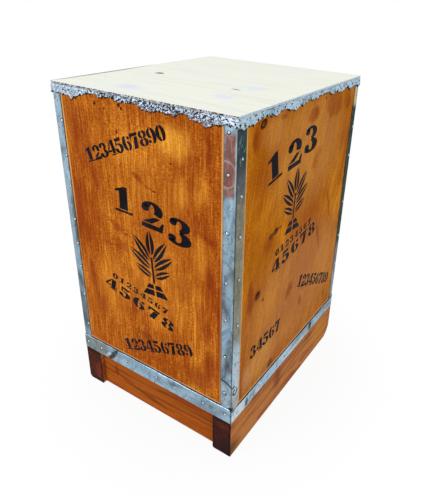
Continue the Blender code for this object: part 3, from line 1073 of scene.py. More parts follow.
# Broad light and dark patches on the tin, partly painted reflections.
TIN_STAINS_AND_REFLECTIONS = stains_on(
    "-Y", -0.240, 0.012,
    (189, 452, 20, 100, ICE, 0.22, 0, 0.4), (193, 228, 18, 22, MAUVE, 0.85, 20, 0.2),
    (186, 345, 16, 40, SLATE, 0.45, 0, 0.2), (190, 155, 30, 40, ICE, 0.5, 0, 0.4),
    (-191, 560, 20, 160, ICE, 0.25, 0, 0.4), (-191, 190, 20, 70, SLATE, 0.76, 0, 0.4),
)

# Rust, scratches and soot, with light and dark bands per face that are partly painted reflections.
TIN_MARKS_AND_REFLECTIONS = (
    *stains_on("-Y", -0.240, 0.020, (200.5, 640, 6, 70, (0.30, 0.33, 0.30), 0.6, 0, 0.55)),
    *stains_on("-Y", -0.240, 0.500, (188.5, 617, 10, 56, RUST, 0.92, 0, 0.8, 0, True)),
    *stains_on(
        "-Y", -0.240, 1.0,
        (183, 603, 16.5, 21.5, (0.36, 0.30, 0.28), 0.55, 0, 0.5, 0.1),
        (176, 158, 36, 36, SCRATCH, 1, 0, 0.5, 0.072), (186, 163, 4.2, 4.2, SCRATCH, 0.9, 0, 0.5, 0.32),
    ),
    *stains_on(
        "+X", 0.202, 1.0,
        (-227, 660, 30, 66, TEAL, 0.95, 0, 0.7, 0, True), (-227, 585, 40, 50, SLATE, 0.85, 0, 0.45),
        (-227, 420, 30, 170, OLIVE, 0.85, 0, 0.7, 0, True), (-227, 215, 30, 80, ICE, 0.75, 0, 0.6, 0, True),
        (-228, 140, 16, 22, SAND, 0.75, 0, 0.5), (-227, 166, 6.6, 6.2, SCRATCH, 1, 0, 0.5, 0.42),
        (-233, 181, 7, 3.4, SCRATCH, 1, 0, 0.4), (229, 200, 30, 120, SLATE, 0.6, 0, 0.5, 0, True),
        (229, 470, 30, 210, (0.003, 0.027, 0.009), 1, 0, 0.75, 0, True),
        (229, 652, 30, 26, (0.42, 0.35, 0.19), 1, 0, 0.45),
    ),
    *stains_on("X", 0.2025, 0.0060, (-236.8, 127, 5.2, 4, SOOT, 1, 0, 0.75)),
)

# Broad blue patches laid per face on the lower strips are partly painted reflections.
FOOT_STAINS_AND_REFLECTIONS = (
    *stains_on("-Y", -0.242, 0.010, (-166, 109, 46, 50, (0.145, 0.172, 0.165), 0.85, 0, 0.7)),
    *stains_on(
        "-Y", -0.242, 0.030,
        (-114, 108, 7.5, 34, (0.020, 0.024, 0.040), 0.97, -38, 0.6),
        (-128, 104, 4, 20, (0.55, 0.60, 0.64), 0.8, -50),
    ),
    *stains_on(
        "-Y", -0.242, 0.010,
        (-20, 109, 80, 50, (0.28, 0.44, 0.58), 0.7, 0, 0.5),
        (150, 109, 60, 50, (0.26, 0.39, 0.50), 0.5, 0, 0.5),
    ),
    *stains_on(
        "+X", 0.205, 0.020,
        (-215, 103, 32, 30, (0.56, 0.66, 0.74), 0.85, 0, 0.6),
        (-60, 105, 100, 30, (0.36, 0.54, 0.70), 0.75, 0, 0.6), (106, 108, 13, 20, MAUVE, 0.95, 0, 0.45),
        (30, 108, 60, 6, SLATE, 0.6), (-139, 104, 20, 14, (0.54, 0.64, 0.72), 0.7, 0, 0.4),
    ),
)

FOOT_SPOTS = (
    *stains_on("X", 0.2030, 0.0060, (-236.8, 126.2, 5.6, 4.2, SOOT, 1, 0, 0.75)),
    *stains_on(
        "+X", 0.205, 0.020,
        (-184, 104, 8.5, 15, (0.030, 0.034, 0.046), 0.9, 0, 0.35),
        (106, 110, 7, 9, (0.010, 0.012, 0.020), 1, 0, 0.4),
    ),
)

LID_STAINS_AND_SHADE = stains_on(
    "Z", HEIGHT, 1.0,
    # The first row darkens the lid along its left edge: painted shade.
    (-203.6, -115, 12, 180, (0.13, 0.11, 0.09), 0.85, 0, 0.5), (60, 240.6, 150, 3, (0.58, 0.50, 0.36), 0.5),
    (-118, -45, 12.4, 10, (0.26, 0.21, 0.13), 1, 0, 0.5), (-114, -45, 8, 6.5, (0.05, 0.045, 0.030), 1, 0, 0.4),
    (91, -80, 12, 3.6, (0.10, 0.085, 0.06), 1, 0, 0.5), (-172, 31, 5, 1.8, (0.45, 0.40, 0.30), 0.6, 0, 0.55),
    (-191, -85, 5, 1.8, (0.45, 0.40, 0.30), 0.6, 0, 0.55),
    (-60, -186, 42, 26, (0.66, 0.71, 0.90), 0.75, 0, 0.1), (110, -50, 38, 25, (0.70, 0.77, 0.88), 0.85, 0, 0.1),
    (113, -145, 32, 22, (0.68, 0.73, 0.90), 0.7, 0, 0.1),
)


def add_object(name: str, data: bpy.types.ID) -> bpy.types.Object:
    """Put an object with some data into the scene.

    Args:
        name: Name of the object.
        data: What it shows.

    Returns:
        The object.
    """
    made = bpy.data.objects.new(name, data)
    bpy.context.scene.collection.objects.link(made)
    return made


def plain_mesh(made: bpy.types.Object, name: str) -> bpy.types.Object:
    """Turn an object with modifiers into one with a plain mesh.

    Args:
        made: Object to evaluate; it is removed.
        name: Name of the new object.

    Returns:
        The new object, at the origin.
    """
    bpy.context.view_layer.update()
    graph = bpy.context.evaluated_depsgraph_get()
    mesh = bpy.data.meshes.new_from_object(made.evaluated_get(graph), depsgraph=graph)
    old = made.data
    bpy.data.objects.remove(made)
    bpy.data.meshes.remove(old)
    mesh.name = name
    return add_object(name, mesh)


def mesh_from(name: str, bm: bmesh.types.BMesh, material: bpy.types.Material) -> bpy.types.Mesh:
    """Make a mesh from a bmesh, which is used up.

    Args:
        name: Name of the mesh.
        bm: The bmesh.
        material: Finish.

    Returns:
        The mesh.
    """
    mesh = bpy.data.meshes.new(name)
    bm.to_mesh(mesh)
    bm.free()
    mesh.materials.append(material)
    return mesh


def loft(points: Sequence[Sequence[Vector]], closed: bool = False) -> bmesh.types.BMesh:
    """Skin a grid of points.

    Args:
        points: One list for each station, all of one length.
        closed: Whether the last station joins the first.

    Returns:
        The skin.
    """
    bm = bmesh.new()
    grid = [[bm.verts.new(point) for point in station] for station in points]
    if closed:
        grid.append(grid[0])
    for first, second in zip(grid, grid[1:]):
        for row in range(len(first) - 1):
            bm.faces.new((first[row], first[row + 1], second[row + 1], second[row])).smooth = True
    return bm


def hand_over(piece: bpy.types.Object, slot: Slot, *nodes: str) -> bpy.types.Object:
    """Attach a finished piece to the chest's body, hide the nodes that it stands for, and log it.

    Args:
        piece: The piece.
        slot: Not used.
        nodes: CAD nodes that it replaces.

    Returns:
        The piece.
    """
    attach(piece, CHEST)
    if nodes:
        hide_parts(*nodes)
    log.info("made %s", piece.name)
    return piece


@dataclass(frozen=True)
class Sheet:
    """Thin stock: thickness, the side of a skin that it goes to, 1 outward and -1 inward, and slot."""

    thickness: float
    offset: float
    slot: Slot

    def piece(
        self, name: str, bm: bmesh.types.BMesh, outward: Vector, material: bpy.types.Material, *nodes: str
    ) -> bpy.types.Object:
        """Give a skin its thickness and turn it into a finished piece.

        Args:
            name: Name of the piece.
            bm: The skin, which is used up.
            outward: Direction that the first face's normal points with.
            material: Finish.
            nodes: CAD nodes that the piece replaces.

        Returns:
            The piece.
        """
        bm.faces.ensure_lookup_table()
        bm.normal_update()
        if bm.faces[0].normal.dot(outward) < 0.0:
            bmesh.ops.reverse_faces(bm, faces=bm.faces)
        made = add_object(f"{name}_skin", mesh_from(f"{name}_skin", bm, material))
        modifier = made.modifiers.new("sheet", "SOLIDIFY")
        modifier.thickness = self.thickness
        modifier.offset = self.offset
        return hand_over(plain_mesh(made, name), self.slot, *nodes)


TINPLATE = Sheet(0.0006, -1.0, Slot.TIN)
LEAD_FOIL = Sheet(0.0004, 1.0, Slot.FOIL)
SHADOW_FILM = Sheet(0.0001, -1.0, Slot.FOIL)
INK_FILM = Sheet(0.00032, -1.0, Slot.PLY)


def smooth_step(value: float) -> float:
    """Smooth ramp from 0 to 1."""
    value = min(max(value, 0.0), 1.0)
    return value * value * (3.0 - 2.0 * value)


def near_edge(share: float) -> float:
    """0 on most of a flange, and from there up to 1 at its free edge."""
    return max(0.0, share - 0.8) * 5.0


def drift(place: Vector, scale: float, seed: float) -> float:
    """Noise from about -1 to 1 at a place."""
    return noise.noise(place * scale + Vector((seed, seed * 1.7, seed * 2.3)))


@dataclass(frozen=True)
class Flange:
    """One flange of a corner strip: its tacks' shares of the height, and their distance in from the outline."""

    shares: tuple[float, ...]
    inward: float


@dataclass(frozen=True)
class TackLines:
    """Where the tacks are: up the two flanges of each corner, and in shares of half the run along the foot."""

    low: float = 0.1273
    high: float = 0.6716
    near_front: tuple[float, ...] = (0.068, 0.228, 0.378, 0.518, 0.692, 0.874, 0.995)
    near_side: tuple[float, ...] = (0.081, 0.195, 0.354, 0.529, 0.678, 0.808, 0.920)
    left_front: tuple[float, ...] = (0.066, 0.211, 0.342, 0.443, 0.544, 0.676, 0.791, 0.914)
    far_side: tuple[float, ...] = (0.052, 0.180, 0.332, 0.500, 0.716, 0.839, 0.973)
    foot_front: tuple[float, ...] = (-0.948, -0.741, -0.360, 0.064, 0.306, 0.672, 0.928)
    foot_side: tuple[float, ...] = (-0.905, -0.696, -0.554, -0.404, -0.2375, -0.0875, 0.154, 0.480, 0.800)
    foot_heights: Point2 = (0.110, 0.1035)

    def flanges(self, corner: Corner) -> tuple[Flange, Flange]:
        """The two flanges of a corner.

        Args:
            corner: The corner.

        Returns:
            The flange on its first side and the next one.
        """
        return {
            Corner.FRONT_RIGHT: (Flange(self.near_front, 0.0168), Flange(self.near_side, 0.0148)),
            Corner.BACK_RIGHT: (Flange(self.far_side, 0.0088), Flange(self.near_front, 0.0190)),
            Corner.BACK_LEFT: (Flange(self.left_front, 0.0168), Flange(self.near_side, 0.0148)),
            Corner.FRONT_LEFT: (Flange(self.far_side, 0.0190), Flange(self.left_front, 0.0168)),
        }[corner]

    def heights(self, flange: Flange) -> list[float]:
        """Heights of the tacks in one flange."""
        return [self.low + share * (self.high - self.low) for share in flange.shares]

    def foot(self, side: Side) -> list[Point2]:
        """Places of the tacks in one lower strip, along and up."""
        shares = self.foot_front if side.frontal else self.foot_side
        return [(share * side.half_run, self.foot_heights[not side.frontal]) for share in shares]


def bend(radius: float) -> list[Point2]:
    """Two points round a quarter bend from one flange to the next, as distances from its centre."""
    return [(radius * math.sin(angle), radius * math.cos(angle)) for angle in map(math.radians, (30.0, 60.0))]


@dataclass
class CornerStrip:
    """A folded tin angle up one corner, held flat by its tacks and slack between them."""

    corner: Corner
    tacks: TackLines
    material: bpy.types.Material
    bend: float = 0.0016
    step: float = 0.003
    columns: int = 9
    slack: float = 0.0009
    hold: float = 0.030
    dent: float = 0.00022
    dimple: float = 0.0002
    dimple_reach: float = 0.006
    dimple_at: float = 0.58
    waver: float = 0.0005
    calm: Point2 = (0.134, 0.664)
    calm_run: float = 0.02
    slack_noise: Point2 = (22.0, 3.0)
    dent_noise: Point2 = (95.0, 9.0)
    waver_noise: Point2 = (60.0, 5.0)

    def section(self, first: float, second: float) -> list[tuple[float, float, float, float, float, int]]:
        """Points across both flanges.

        Args:
            first: Width of the first flange.
            second: Width of the second flange.

        Returns:
            For each point: across, inward, outward direction, share from the fold, and flange.
        """
        flat = [index / (self.columns - 1) for index in range(self.columns)]
        start = TIN_FACE + self.bend
        run = first - self.bend
        rows = [(-start - share * run, TIN_FACE, 0.0, -1.0, share, 0) for share in reversed(flat)]
        for flange, (x, y) in enumerate(bend(self.bend)):
            rows.append((x - start, start - y, x / self.bend, -y / self.bend, 0.0, flange))
        return rows + [(-TIN_FACE, start + share * (second - self.bend), 1.0, 0.0, share, 1) for share in flat]

    def station(self, z: float, rows: Sequence[tuple], heights: Sequence[Sequence[float]]) -> list[Vector]:
        """Points across the strip at one height.

        Args:
            z: The height.
            rows: The section.
            heights: Heights of the tacks in each flange.

        Returns:
            The points.
        """
        low, high = self.calm
        ends = smooth_step((z - low) / self.calm_run) * smooth_step((high - z) / self.calm_run)
        points = []
        for across, inward, x, y, share, flange in rows:
            nearest = min(abs(z - height) for height in heights[flange])
            loose = smooth_step(nearest / self.hold) * ends
            where = self.corner.place(across, inward, z)
            swell = 0.35 + 0.65 * drift(where, *self.slack_noise)
            lift = loose * self.slack * swell * (0.15 + 0.85 * share**1.5)
            dent = self.dent * drift(where, *self.dent_noise) * ends
            pressed = max(0.0, 1.0 - nearest / self.dimple_reach) * (1.0 - abs(share - self.dimple_at) * 2.0)
            out = max(0.0, lift + dent - self.dimple * pressed)
            edge = self.waver * drift(where, *self.waver_noise) * near_edge(share)
            slide = self.corner.direction(*((0.0, edge) if flange else (-edge, 0.0)))
            points.append(where + self.corner.direction(x, y) * out + slide)
        return points

    def build(self) -> bpy.types.Object:
        """Make the strip.

        Returns:
            The piece.
        """
        node = f"corner_strip_{self.corner.label}"
        start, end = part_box(node)
        size = end - start
        turned = self.corner in (Corner.BACK_RIGHT, Corner.FRONT_LEFT)
        rows = self.section(*((size.y, size.x) if turned else (size.x, size.y)))
        heights = [self.tacks.heights(flange) for flange in self.tacks.flanges(self.corner)]
        count = round((end.z - start.z) / self.step)
        levels = [start.z + (end.z - start.z) * index / count for index in range(count + 1)]
        bm = loft([self.station(z, rows, heights) for z in levels])
        outward = self.corner.direction(0.0, -1.0)
        return TINPLATE.piece(f"tin_{self.corner.label}", bm, outward, self.material, node)


@dataclass
class LowerStrip:
    """A folded tin angle along the foot of one side, turned in under the floor."""

    side: Side
    tacks: TackLines
    material: bpy.types.Material
    bend: float = 0.0012
    under: float = 0.018
    step: float = 0.003
    rows: int = 11
    end_gap: float = 0.0003
    slack: float = 0.0010
    hold: float = 0.028
    dent: float = 0.00018
    waver: float = 0.0005
    lap: float = 0.0007
    lap_places: Point2 = (0.018, 0.187)
    lap_fade: float = 0.070
    lap_edge: float = 0.0003
    weld: float = 0.00001
    calm_run: float = 0.02
    under_middle: float = 0.6
    slack_noise: Point2 = (24.0, 7.0)
    dent_noise: Point2 = (110.0, 4.0)
    waver_noise: Point2 = (70.0, 2.0)

    def station(self, along: float, half: float, levels: Point2) -> list[Vector]:
        """Points across the strip at one place.

        Args:
            along: The place along the side.
            half: Half of the strip's length.
            levels: Height of its bottom and top.

        Returns:
            The points.
        """
        bottom, top = levels
        side = self.side
        lap_at = self.lap_places[not side.frontal]
        nearest = min(abs(along - x) for x, _ in self.tacks.foot(side))
        loose = smooth_step(nearest / self.hold) * smooth_step((half - abs(along)) / self.calm_run)
        lap = self.lap * max(0.0, 1.0 - (along - lap_at) / self.lap_fade) if along > lap_at else 0.0
        points = []
        for row in range(self.rows):
            share = 1.0 - row / (self.rows - 1)
            z = bottom + self.bend + share * (top - bottom - self.bend)
            where = side.place(along, 0.0, z)
            lift = loose * self.slack * (0.4 + 0.6 * drift(where, *self.slack_noise)) * share**2
            dent = self.dent * drift(where, *self.dent_noise)
            edge = self.waver * drift(where, *self.waver_noise) * near_edge(share)
            points.append(side.place(along, -max(0.0, lift + dent + lap), z + edge))
        for x, y in bend(self.bend):
            points.append(side.place(along, self.bend - y, bottom + self.bend - x))
        for inward in (self.bend, self.under_middle * self.under, self.under):
            reach = side.half_run - max(side.half_run - half, inward + self.end_gap)
            points.append(side.place(max(-reach, min(reach, along)), inward, bottom))
        return points

    def build(self) -> bpy.types.Object:
        """Make the strip.

        Returns:
            The piece.
        """
        node = f"lower_strip_{self.side.label}"
        levels = tuple(corner.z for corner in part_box(node))
        half = self.side.half_run - (self.end_gap if self.side.frontal else TIN_FACE)
        count = round(2.0 * half / self.step)
        lap_at = self.lap_places[not self.side.frontal]
        places = [half * (2.0 * index / count - 1.0) for index in range(count + 1)]
        places = sorted([*places, lap_at - self.lap_edge, lap_at + self.lap_edge])
        bm = loft([self.station(along, half, levels) for along in places])
        bmesh.ops.remove_doubles(bm, verts=bm.verts, dist=self.weld)
        return TINPLATE.piece(f"tin_foot_{self.side.label}", bm, self.side.outward, self.material, node)


@dataclass
class RimFoil:
    """The lining's torn edge: a hem inside, a flat over the rim and a crumpled, ragged skirt outside."""

    material: bpy.types.Material
    shadow_material: bpy.types.Material
    hem: float = 0.0274
    hem_drop: float = 0.010
    over: float = 0.6902
    rim: float = 0.6899
    skirt: float = 0.00055
    turn: float = 0.0004
    step: float = 0.0015
    rows: int = 15
    crumple: float = 0.0012
    curl: float = 0.0018
    ragged: float = 0.0030
    # How far the dark sheet hangs below the torn edge, its gap behind the skirt, its rows and noise: it shows
    # as a painted shadow line.
    shadow_band: float = 0.0023
    shadow_gap: float = 0.00018
    shadow_rows: tuple[float, ...] = (0.3, 0.6, 0.8, 0.9, 1.0)
    shadow_noise: Point2 = (260.0, 6.0)
    drop: float = 0.013
    least: float = 0.004
    calm_run: float = 0.003
    corner_share: float = 0.999
    tears: tuple[Point3, ...] = ((1.0, 170.0, 1.0), (0.9, 430.0, 4.0))
    creases: tuple[Point3, ...] = ((1.0, 120.0, 8.0), (0.55, 310.0, 3.0), (0.3, 700.0, 5.0))
    curl_noise: Point2 = (60.0, 2.0)
    front_edge: tuple[Point2, ...] = (
        (-1.0, 1.07), (-0.80, 1.15), (-0.75, 1.53), (-0.67, 0.99), (-0.52, 0.38), (-0.376, 0.45), (-0.21, 0.38),
        (-0.173, 0.68), (-0.025, 0.45), (0.04, 0.68), (0.074, 0.92), (0.158, 1.15), (0.21, 0.84), (0.42, 0.92),
        (0.464, 0.53), (0.53, 0.68), (0.59, 0.92), (0.67, 1.22), (0.716, 1.61), (0.785, 1.07), (0.87, 0.92),
        (1.0, 0.86),
    )
    side_edge: tuple[Point2, ...] = (
        (-1.0, 1.15), (-0.925, 1.30), (-0.896, 1.07), (-0.81, 1.07), (-0.767, 0.84), (-0.65, 0.61),
        (-0.604, 0.84), (-0.525, 1.07), (-0.45, 0.61), (-0.354, 0.84), (-0.254, 1.30), (-0.21, 0.92),
        (-0.14, 0.99), (-0.058, 0.53), (0.033, 0.76), (0.13, 0.53), (0.217, 0.61), (0.283, 0.38), (0.396, 0.92),
        (0.475, 0.68), (0.579, 1.22), (0.71, 0.45), (0.77, 1.30), (0.85, 0.84), (1.0, 1.22),
    )

    def depth(self, side: Side, along: float) -> float:
        """How far the torn edge hangs below the rim at a place on a side.

        Args:
            side: The side.
            along: Place along it.

        Returns:
            The depth.
        """
        where = side.place(along, 0.0, self.rim)
        edge = self.front_edge if side.frontal else self.side_edge
        share = along / side.half_run
        (start, first), (end, second) = next(pair for pair in zip(edge, edge[1:]) if share <= pair[1][0])
        base = self.drop * (first + (second - first) * (share - start) / (end - start))
        tear = sum(weight * drift(where, scale, seed) for weight, scale, seed in self.tears)
        return max(self.least, base + self.ragged * tear)

    def station(self, side: Side, share: float) -> list[Vector]:
        """Points across the foil at one place round the rim.

        Args:
            side: The side that the place is on.
            share: Place along the side, from -1 to 1.

        Returns:
            The points, from the end of the hem to the torn edge.
        """
        def at(inward: float, z: float, out: float = 0.0) -> Vector:
            """A point at this place, pushed out, also along the side where it is on a corner."""
            push = math.copysign(out, share) if abs(share) > self.corner_share else 0.0
            return side.place(share * (side.half_run - inward) + push, inward - out, z)

        depth = self.depth(side, share * side.half_run)
        points = [at(self.hem, self.over - self.hem_drop * (1.0 - step / 4)) for step in range(4)]
        run = self.skirt + self.turn - self.hem
        points += [at(self.hem + run * step / 5, self.over) for step in range(6)]
        for row in range(self.rows):
            down = row / (self.rows - 1)
            z = self.over - self.turn - down * (depth - self.turn)
            where = at(self.skirt, z)
            calm = smooth_step((self.over - z) / self.calm_run)
            rough = sum(weight * abs(drift(where, scale, seed)) for weight, scale, seed in self.creases)
            curl = self.curl * down**3 * (0.4 + 0.6 * drift(where, *self.curl_noise))
            points.append(at(self.skirt, z, calm * self.crumple * rough + max(0.0, curl)))
        return points

    def shadow_station(self, side: Side, share: float) -> list[Vector]:
        """Points down the dark sheet behind the skirt, a painted shadow line below the torn edge, at one place
        round the rim.

        Args:
            side: The side that the place is on.
            share: Place along the side, from -1 to 1.

        Returns:
            The points, from the rim down to the sheet's ragged edge.
        """
        along = share * side.half_run
        below = self.shadow_band * (0.7 + 1.4 * drift(side.place(along, 0.0, 0.0), *self.shadow_noise))
        hang = self.depth(side, along) + below
        inward = self.skirt + self.shadow_gap
        along = share * (side.half_run - inward)
        return [side.place(along, inward, self.over - down * hang) for down in self.shadow_rows]

    def build(self) -> None:
        """Make the foil, one sheet all round, and the dark sheet behind it that shows as a thin ragged painted
        shadow line below it.
        """
        counts = [(side, round(2.0 * side.half_run / self.step)) for side in Side]
        places = [(side, 2.0 * index / count - 1.0) for side, count in counts for index in range(count)]
        stations = (self.station, self.shadow_station)
        foil, shadow_band = (loft([points(*place) for place in places], closed=True) for points in stations)
        nodes = [f"rim_foil_{side.label}" for side in Side]
        LEAD_FOIL.piece("torn_foil", foil, -Side.FRONT.outward, self.material, *nodes)
        # The dark sheet behind the skirt is a painted shadow line below the torn edge.
        SHADOW_FILM.piece("foil_edge_shadow", shadow_band, Side.FRONT.outward, self.shadow_material)


@dataclass
class Tacks:
    """Domed tacks over all the strips, placed and tilted by Geometry Nodes."""

    lines: TackLines
    material: bpy.types.Material
    shadow_disc: bpy.types.Material
    radius: float = 0.0027
    ring: float = 0.0037
    rise: float = 0.0014
    sink: float = 0.25
    lift: float = 0.00015
    low: Point3 = (0.00012, -0.0004, 0.00012)
    tilt: Point3 = (0.10, 0.10, 3.1)
    spread: Point2 = (0.90, 1.10)
    segments: int = 14
    rings: int = 9
    ring_points: int = 20
    underside: float = -0.01
    seed: int = 7

    def seats(self) -> list[tuple[Vector, Vector]]:
        """Place and facing of every tack.

        Returns:
            The places and facings.
        """
        seats = []
        outer = TIN_FACE - self.lift
        for corner in Corner:
            first, second = self.lines.flanges(corner)
            for height in self.lines.heights(first):
                seats.append((corner.place(-first.inward, outer, height), corner.direction(0.0, -1.0)))
            for height in self.lines.heights(second):
                seats.append((corner.place(-outer, second.inward, height), corner.direction(1.0, 0.0)))
        for side in Side:
            for along, height in self.lines.foot(side):
                seats.append((side.place(along, -self.lift, height), side.outward))
        return seats

    def head(self, graph: Graph, given: bpy.types.NodeOutputs) -> Socket:
        """One head: a low dome with a flattened underside on a dark disc, a painted shadow round the head.

        Args:
            graph: Where the nodes go.
            given: The tree's inputs.

        Returns:
            The geometry.
        """
        feeds = {"Segments": self.segments, "Rings": self.rings, "Radius": 1.0}
        ball = graph.add("GeometryNodeMeshUVSphere", feeds).outputs["Mesh"]
        place = graph.add("GeometryNodeInputPosition").outputs[0]
        below = graph.math("LESS_THAN", graph.part(place, "Z"), self.underside)
        flatten = graph.add("ShaderNodeCombineXYZ", {"X": 1.0, "Y": 1.0, "Z": given["Sink"]}).outputs[0]
        feeds = {"Geometry": ball, "Selection": below, "Position": graph.vector("MULTIPLY", place, flatten)}
        dome = graph.add("GeometryNodeSetPosition", feeds).outputs[0]
        feeds = {"X": given["Head radius"], "Y": given["Head radius"], "Z": given["Head rise"]}
        size = graph.add("ShaderNodeCombineXYZ", feeds).outputs[0]
        dome = graph.add("GeometryNodeTransform", {"Geometry": dome, "Scale": size}).outputs[0]
        smooth = graph.add("GeometryNodeSetShadeSmooth", {"Geometry": dome})
        # A dark disc just under the head: painted shadow round the tack.
        feeds = {"Vertices": self.ring_points, "Radius": given["Ring radius"]}
        disc = graph.add("GeometryNodeMeshCircle", feeds, fill_type="NGON").outputs[0]
        disc = graph.add("GeometryNodeTransform", {"Geometry": disc, "Translation": self.low}).outputs[0]
        feeds = {"Geometry": disc, "Name": "shadow_disc", "Value": True}
        shaded = graph.add("GeometryNodeStoreNamedAttribute", feeds, data_type="BOOLEAN", domain="FACE")
        tack = graph.add("GeometryNodeJoinGeometry")
        for part in (smooth, shaded):
            graph.tree.links.new(part.outputs[0], tack.inputs[0])
        return tack.outputs[0]

    @staticmethod
    def attribute(graph: Graph, name: str, kind: str) -> Socket:
        """A named attribute."""
        return graph.add("GeometryNodeInputNamedAttribute", {"Name": name}, data_type=kind).outputs[0]

    def tree(self) -> bpy.types.GeometryNodeTree:
        """Geometry tree: one head on each point, turned to face out, tilted and scaled a little.

        Returns:
            The tree.
        """
        tree = bpy.data.node_groups.new("tack_heads", "GeometryNodeTree")
        for name, kind in (
            ("Points", "Geometry"), ("Head radius", "Float"), ("Head rise", "Float"), ("Sink", "Float"),
            ("Ring radius", "Float"), ("Seed", "Int"), ("Material", "Material"), ("Shadow disc", "Material"),
        ):
            tree.interface.new_socket(name, in_out="INPUT", socket_type=f"NodeSocket{kind}")
        tree.interface.new_socket("Geometry", in_out="OUTPUT", socket_type="NodeSocketGeometry")
        graph = Graph(tree)
        given = graph.add("NodeGroupInput").outputs
        head = self.head(graph, given)
        facing = self.attribute(graph, "facing", "FLOAT_VECTOR")
        aim = graph.add("FunctionNodeAlignRotationToVector", {"Vector": facing}, axis="Z").outputs[0]
        feeds = {0: tuple(-part for part in self.tilt), 1: self.tilt, "Seed": given["Seed"]}
        tilt = graph.add("FunctionNodeRandomValue", feeds, data_type="FLOAT_VECTOR").outputs[0]
        feeds = {"Rotation": aim, "Rotate By": tilt}
        turned = graph.add("FunctionNodeRotateRotation", feeds, rotation_space="LOCAL").outputs[0]
        feeds = {2: self.spread[0], 3: self.spread[1], "Seed": given["Seed"]}
        spread = graph.add("FunctionNodeRandomValue", feeds, data_type="FLOAT").outputs[1]
        feeds = {"Points": given["Points"], "Instance": head, "Rotation": turned, "Scale": spread}
        placed = graph.add("GeometryNodeInstanceOnPoints", feeds).outputs[0]
        real = graph.add("GeometryNodeRealizeInstances", {"Geometry": placed}).outputs[0]
        feeds = {"Geometry": real, "Material": given["Material"]}
        steel = graph.add("GeometryNodeSetMaterial", feeds).outputs[0]
        ring = self.attribute(graph, "shadow_disc", "BOOLEAN")
        feeds = {"Geometry": steel, "Selection": ring, "Material": given["Shadow disc"]}
        graph.add("NodeGroupOutput", {"Geometry": graph.add("GeometryNodeSetMaterial", feeds).outputs[0]})
        return tree

    def build(self) -> None:
        """Make all the tack heads."""
        seats = self.seats()
        mesh = bpy.data.meshes.new("tack_seats")
        mesh.from_pydata([place for place, _ in seats], [], [])
        facing = mesh.attributes.new("facing", "FLOAT_VECTOR", "POINT")
        facing.data.foreach_set("vector", [part for _, way in seats for part in way])
        points = add_object("tack_seats", mesh)
        modifier = points.modifiers.new("tack_heads", "NODES")
        modifier.node_group = self.tree()
        values = {
            "Head radius": self.radius, "Head rise": self.rise, "Sink": self.sink, "Seed": self.seed,
            "Material": self.material, "Shadow disc": self.shadow_disc, "Ring radius": self.ring,
        }
        for item in modifier.node_group.interface.items_tree:
            if item.in_out == "INPUT" and item.name in values:
                modifier[item.identifier] = values[item.name]
        hand_over(plain_mesh(points, "tacks"), Slot.STEEL)


@dataclass(frozen=True)
class Mark:
    """One stencilled mark, given in millimetres in the plane of its side."""

    along: float
    height: float
    width: float
    tall: float
    tilt: float
    numerals: str = ""
    gap: float = 0.05


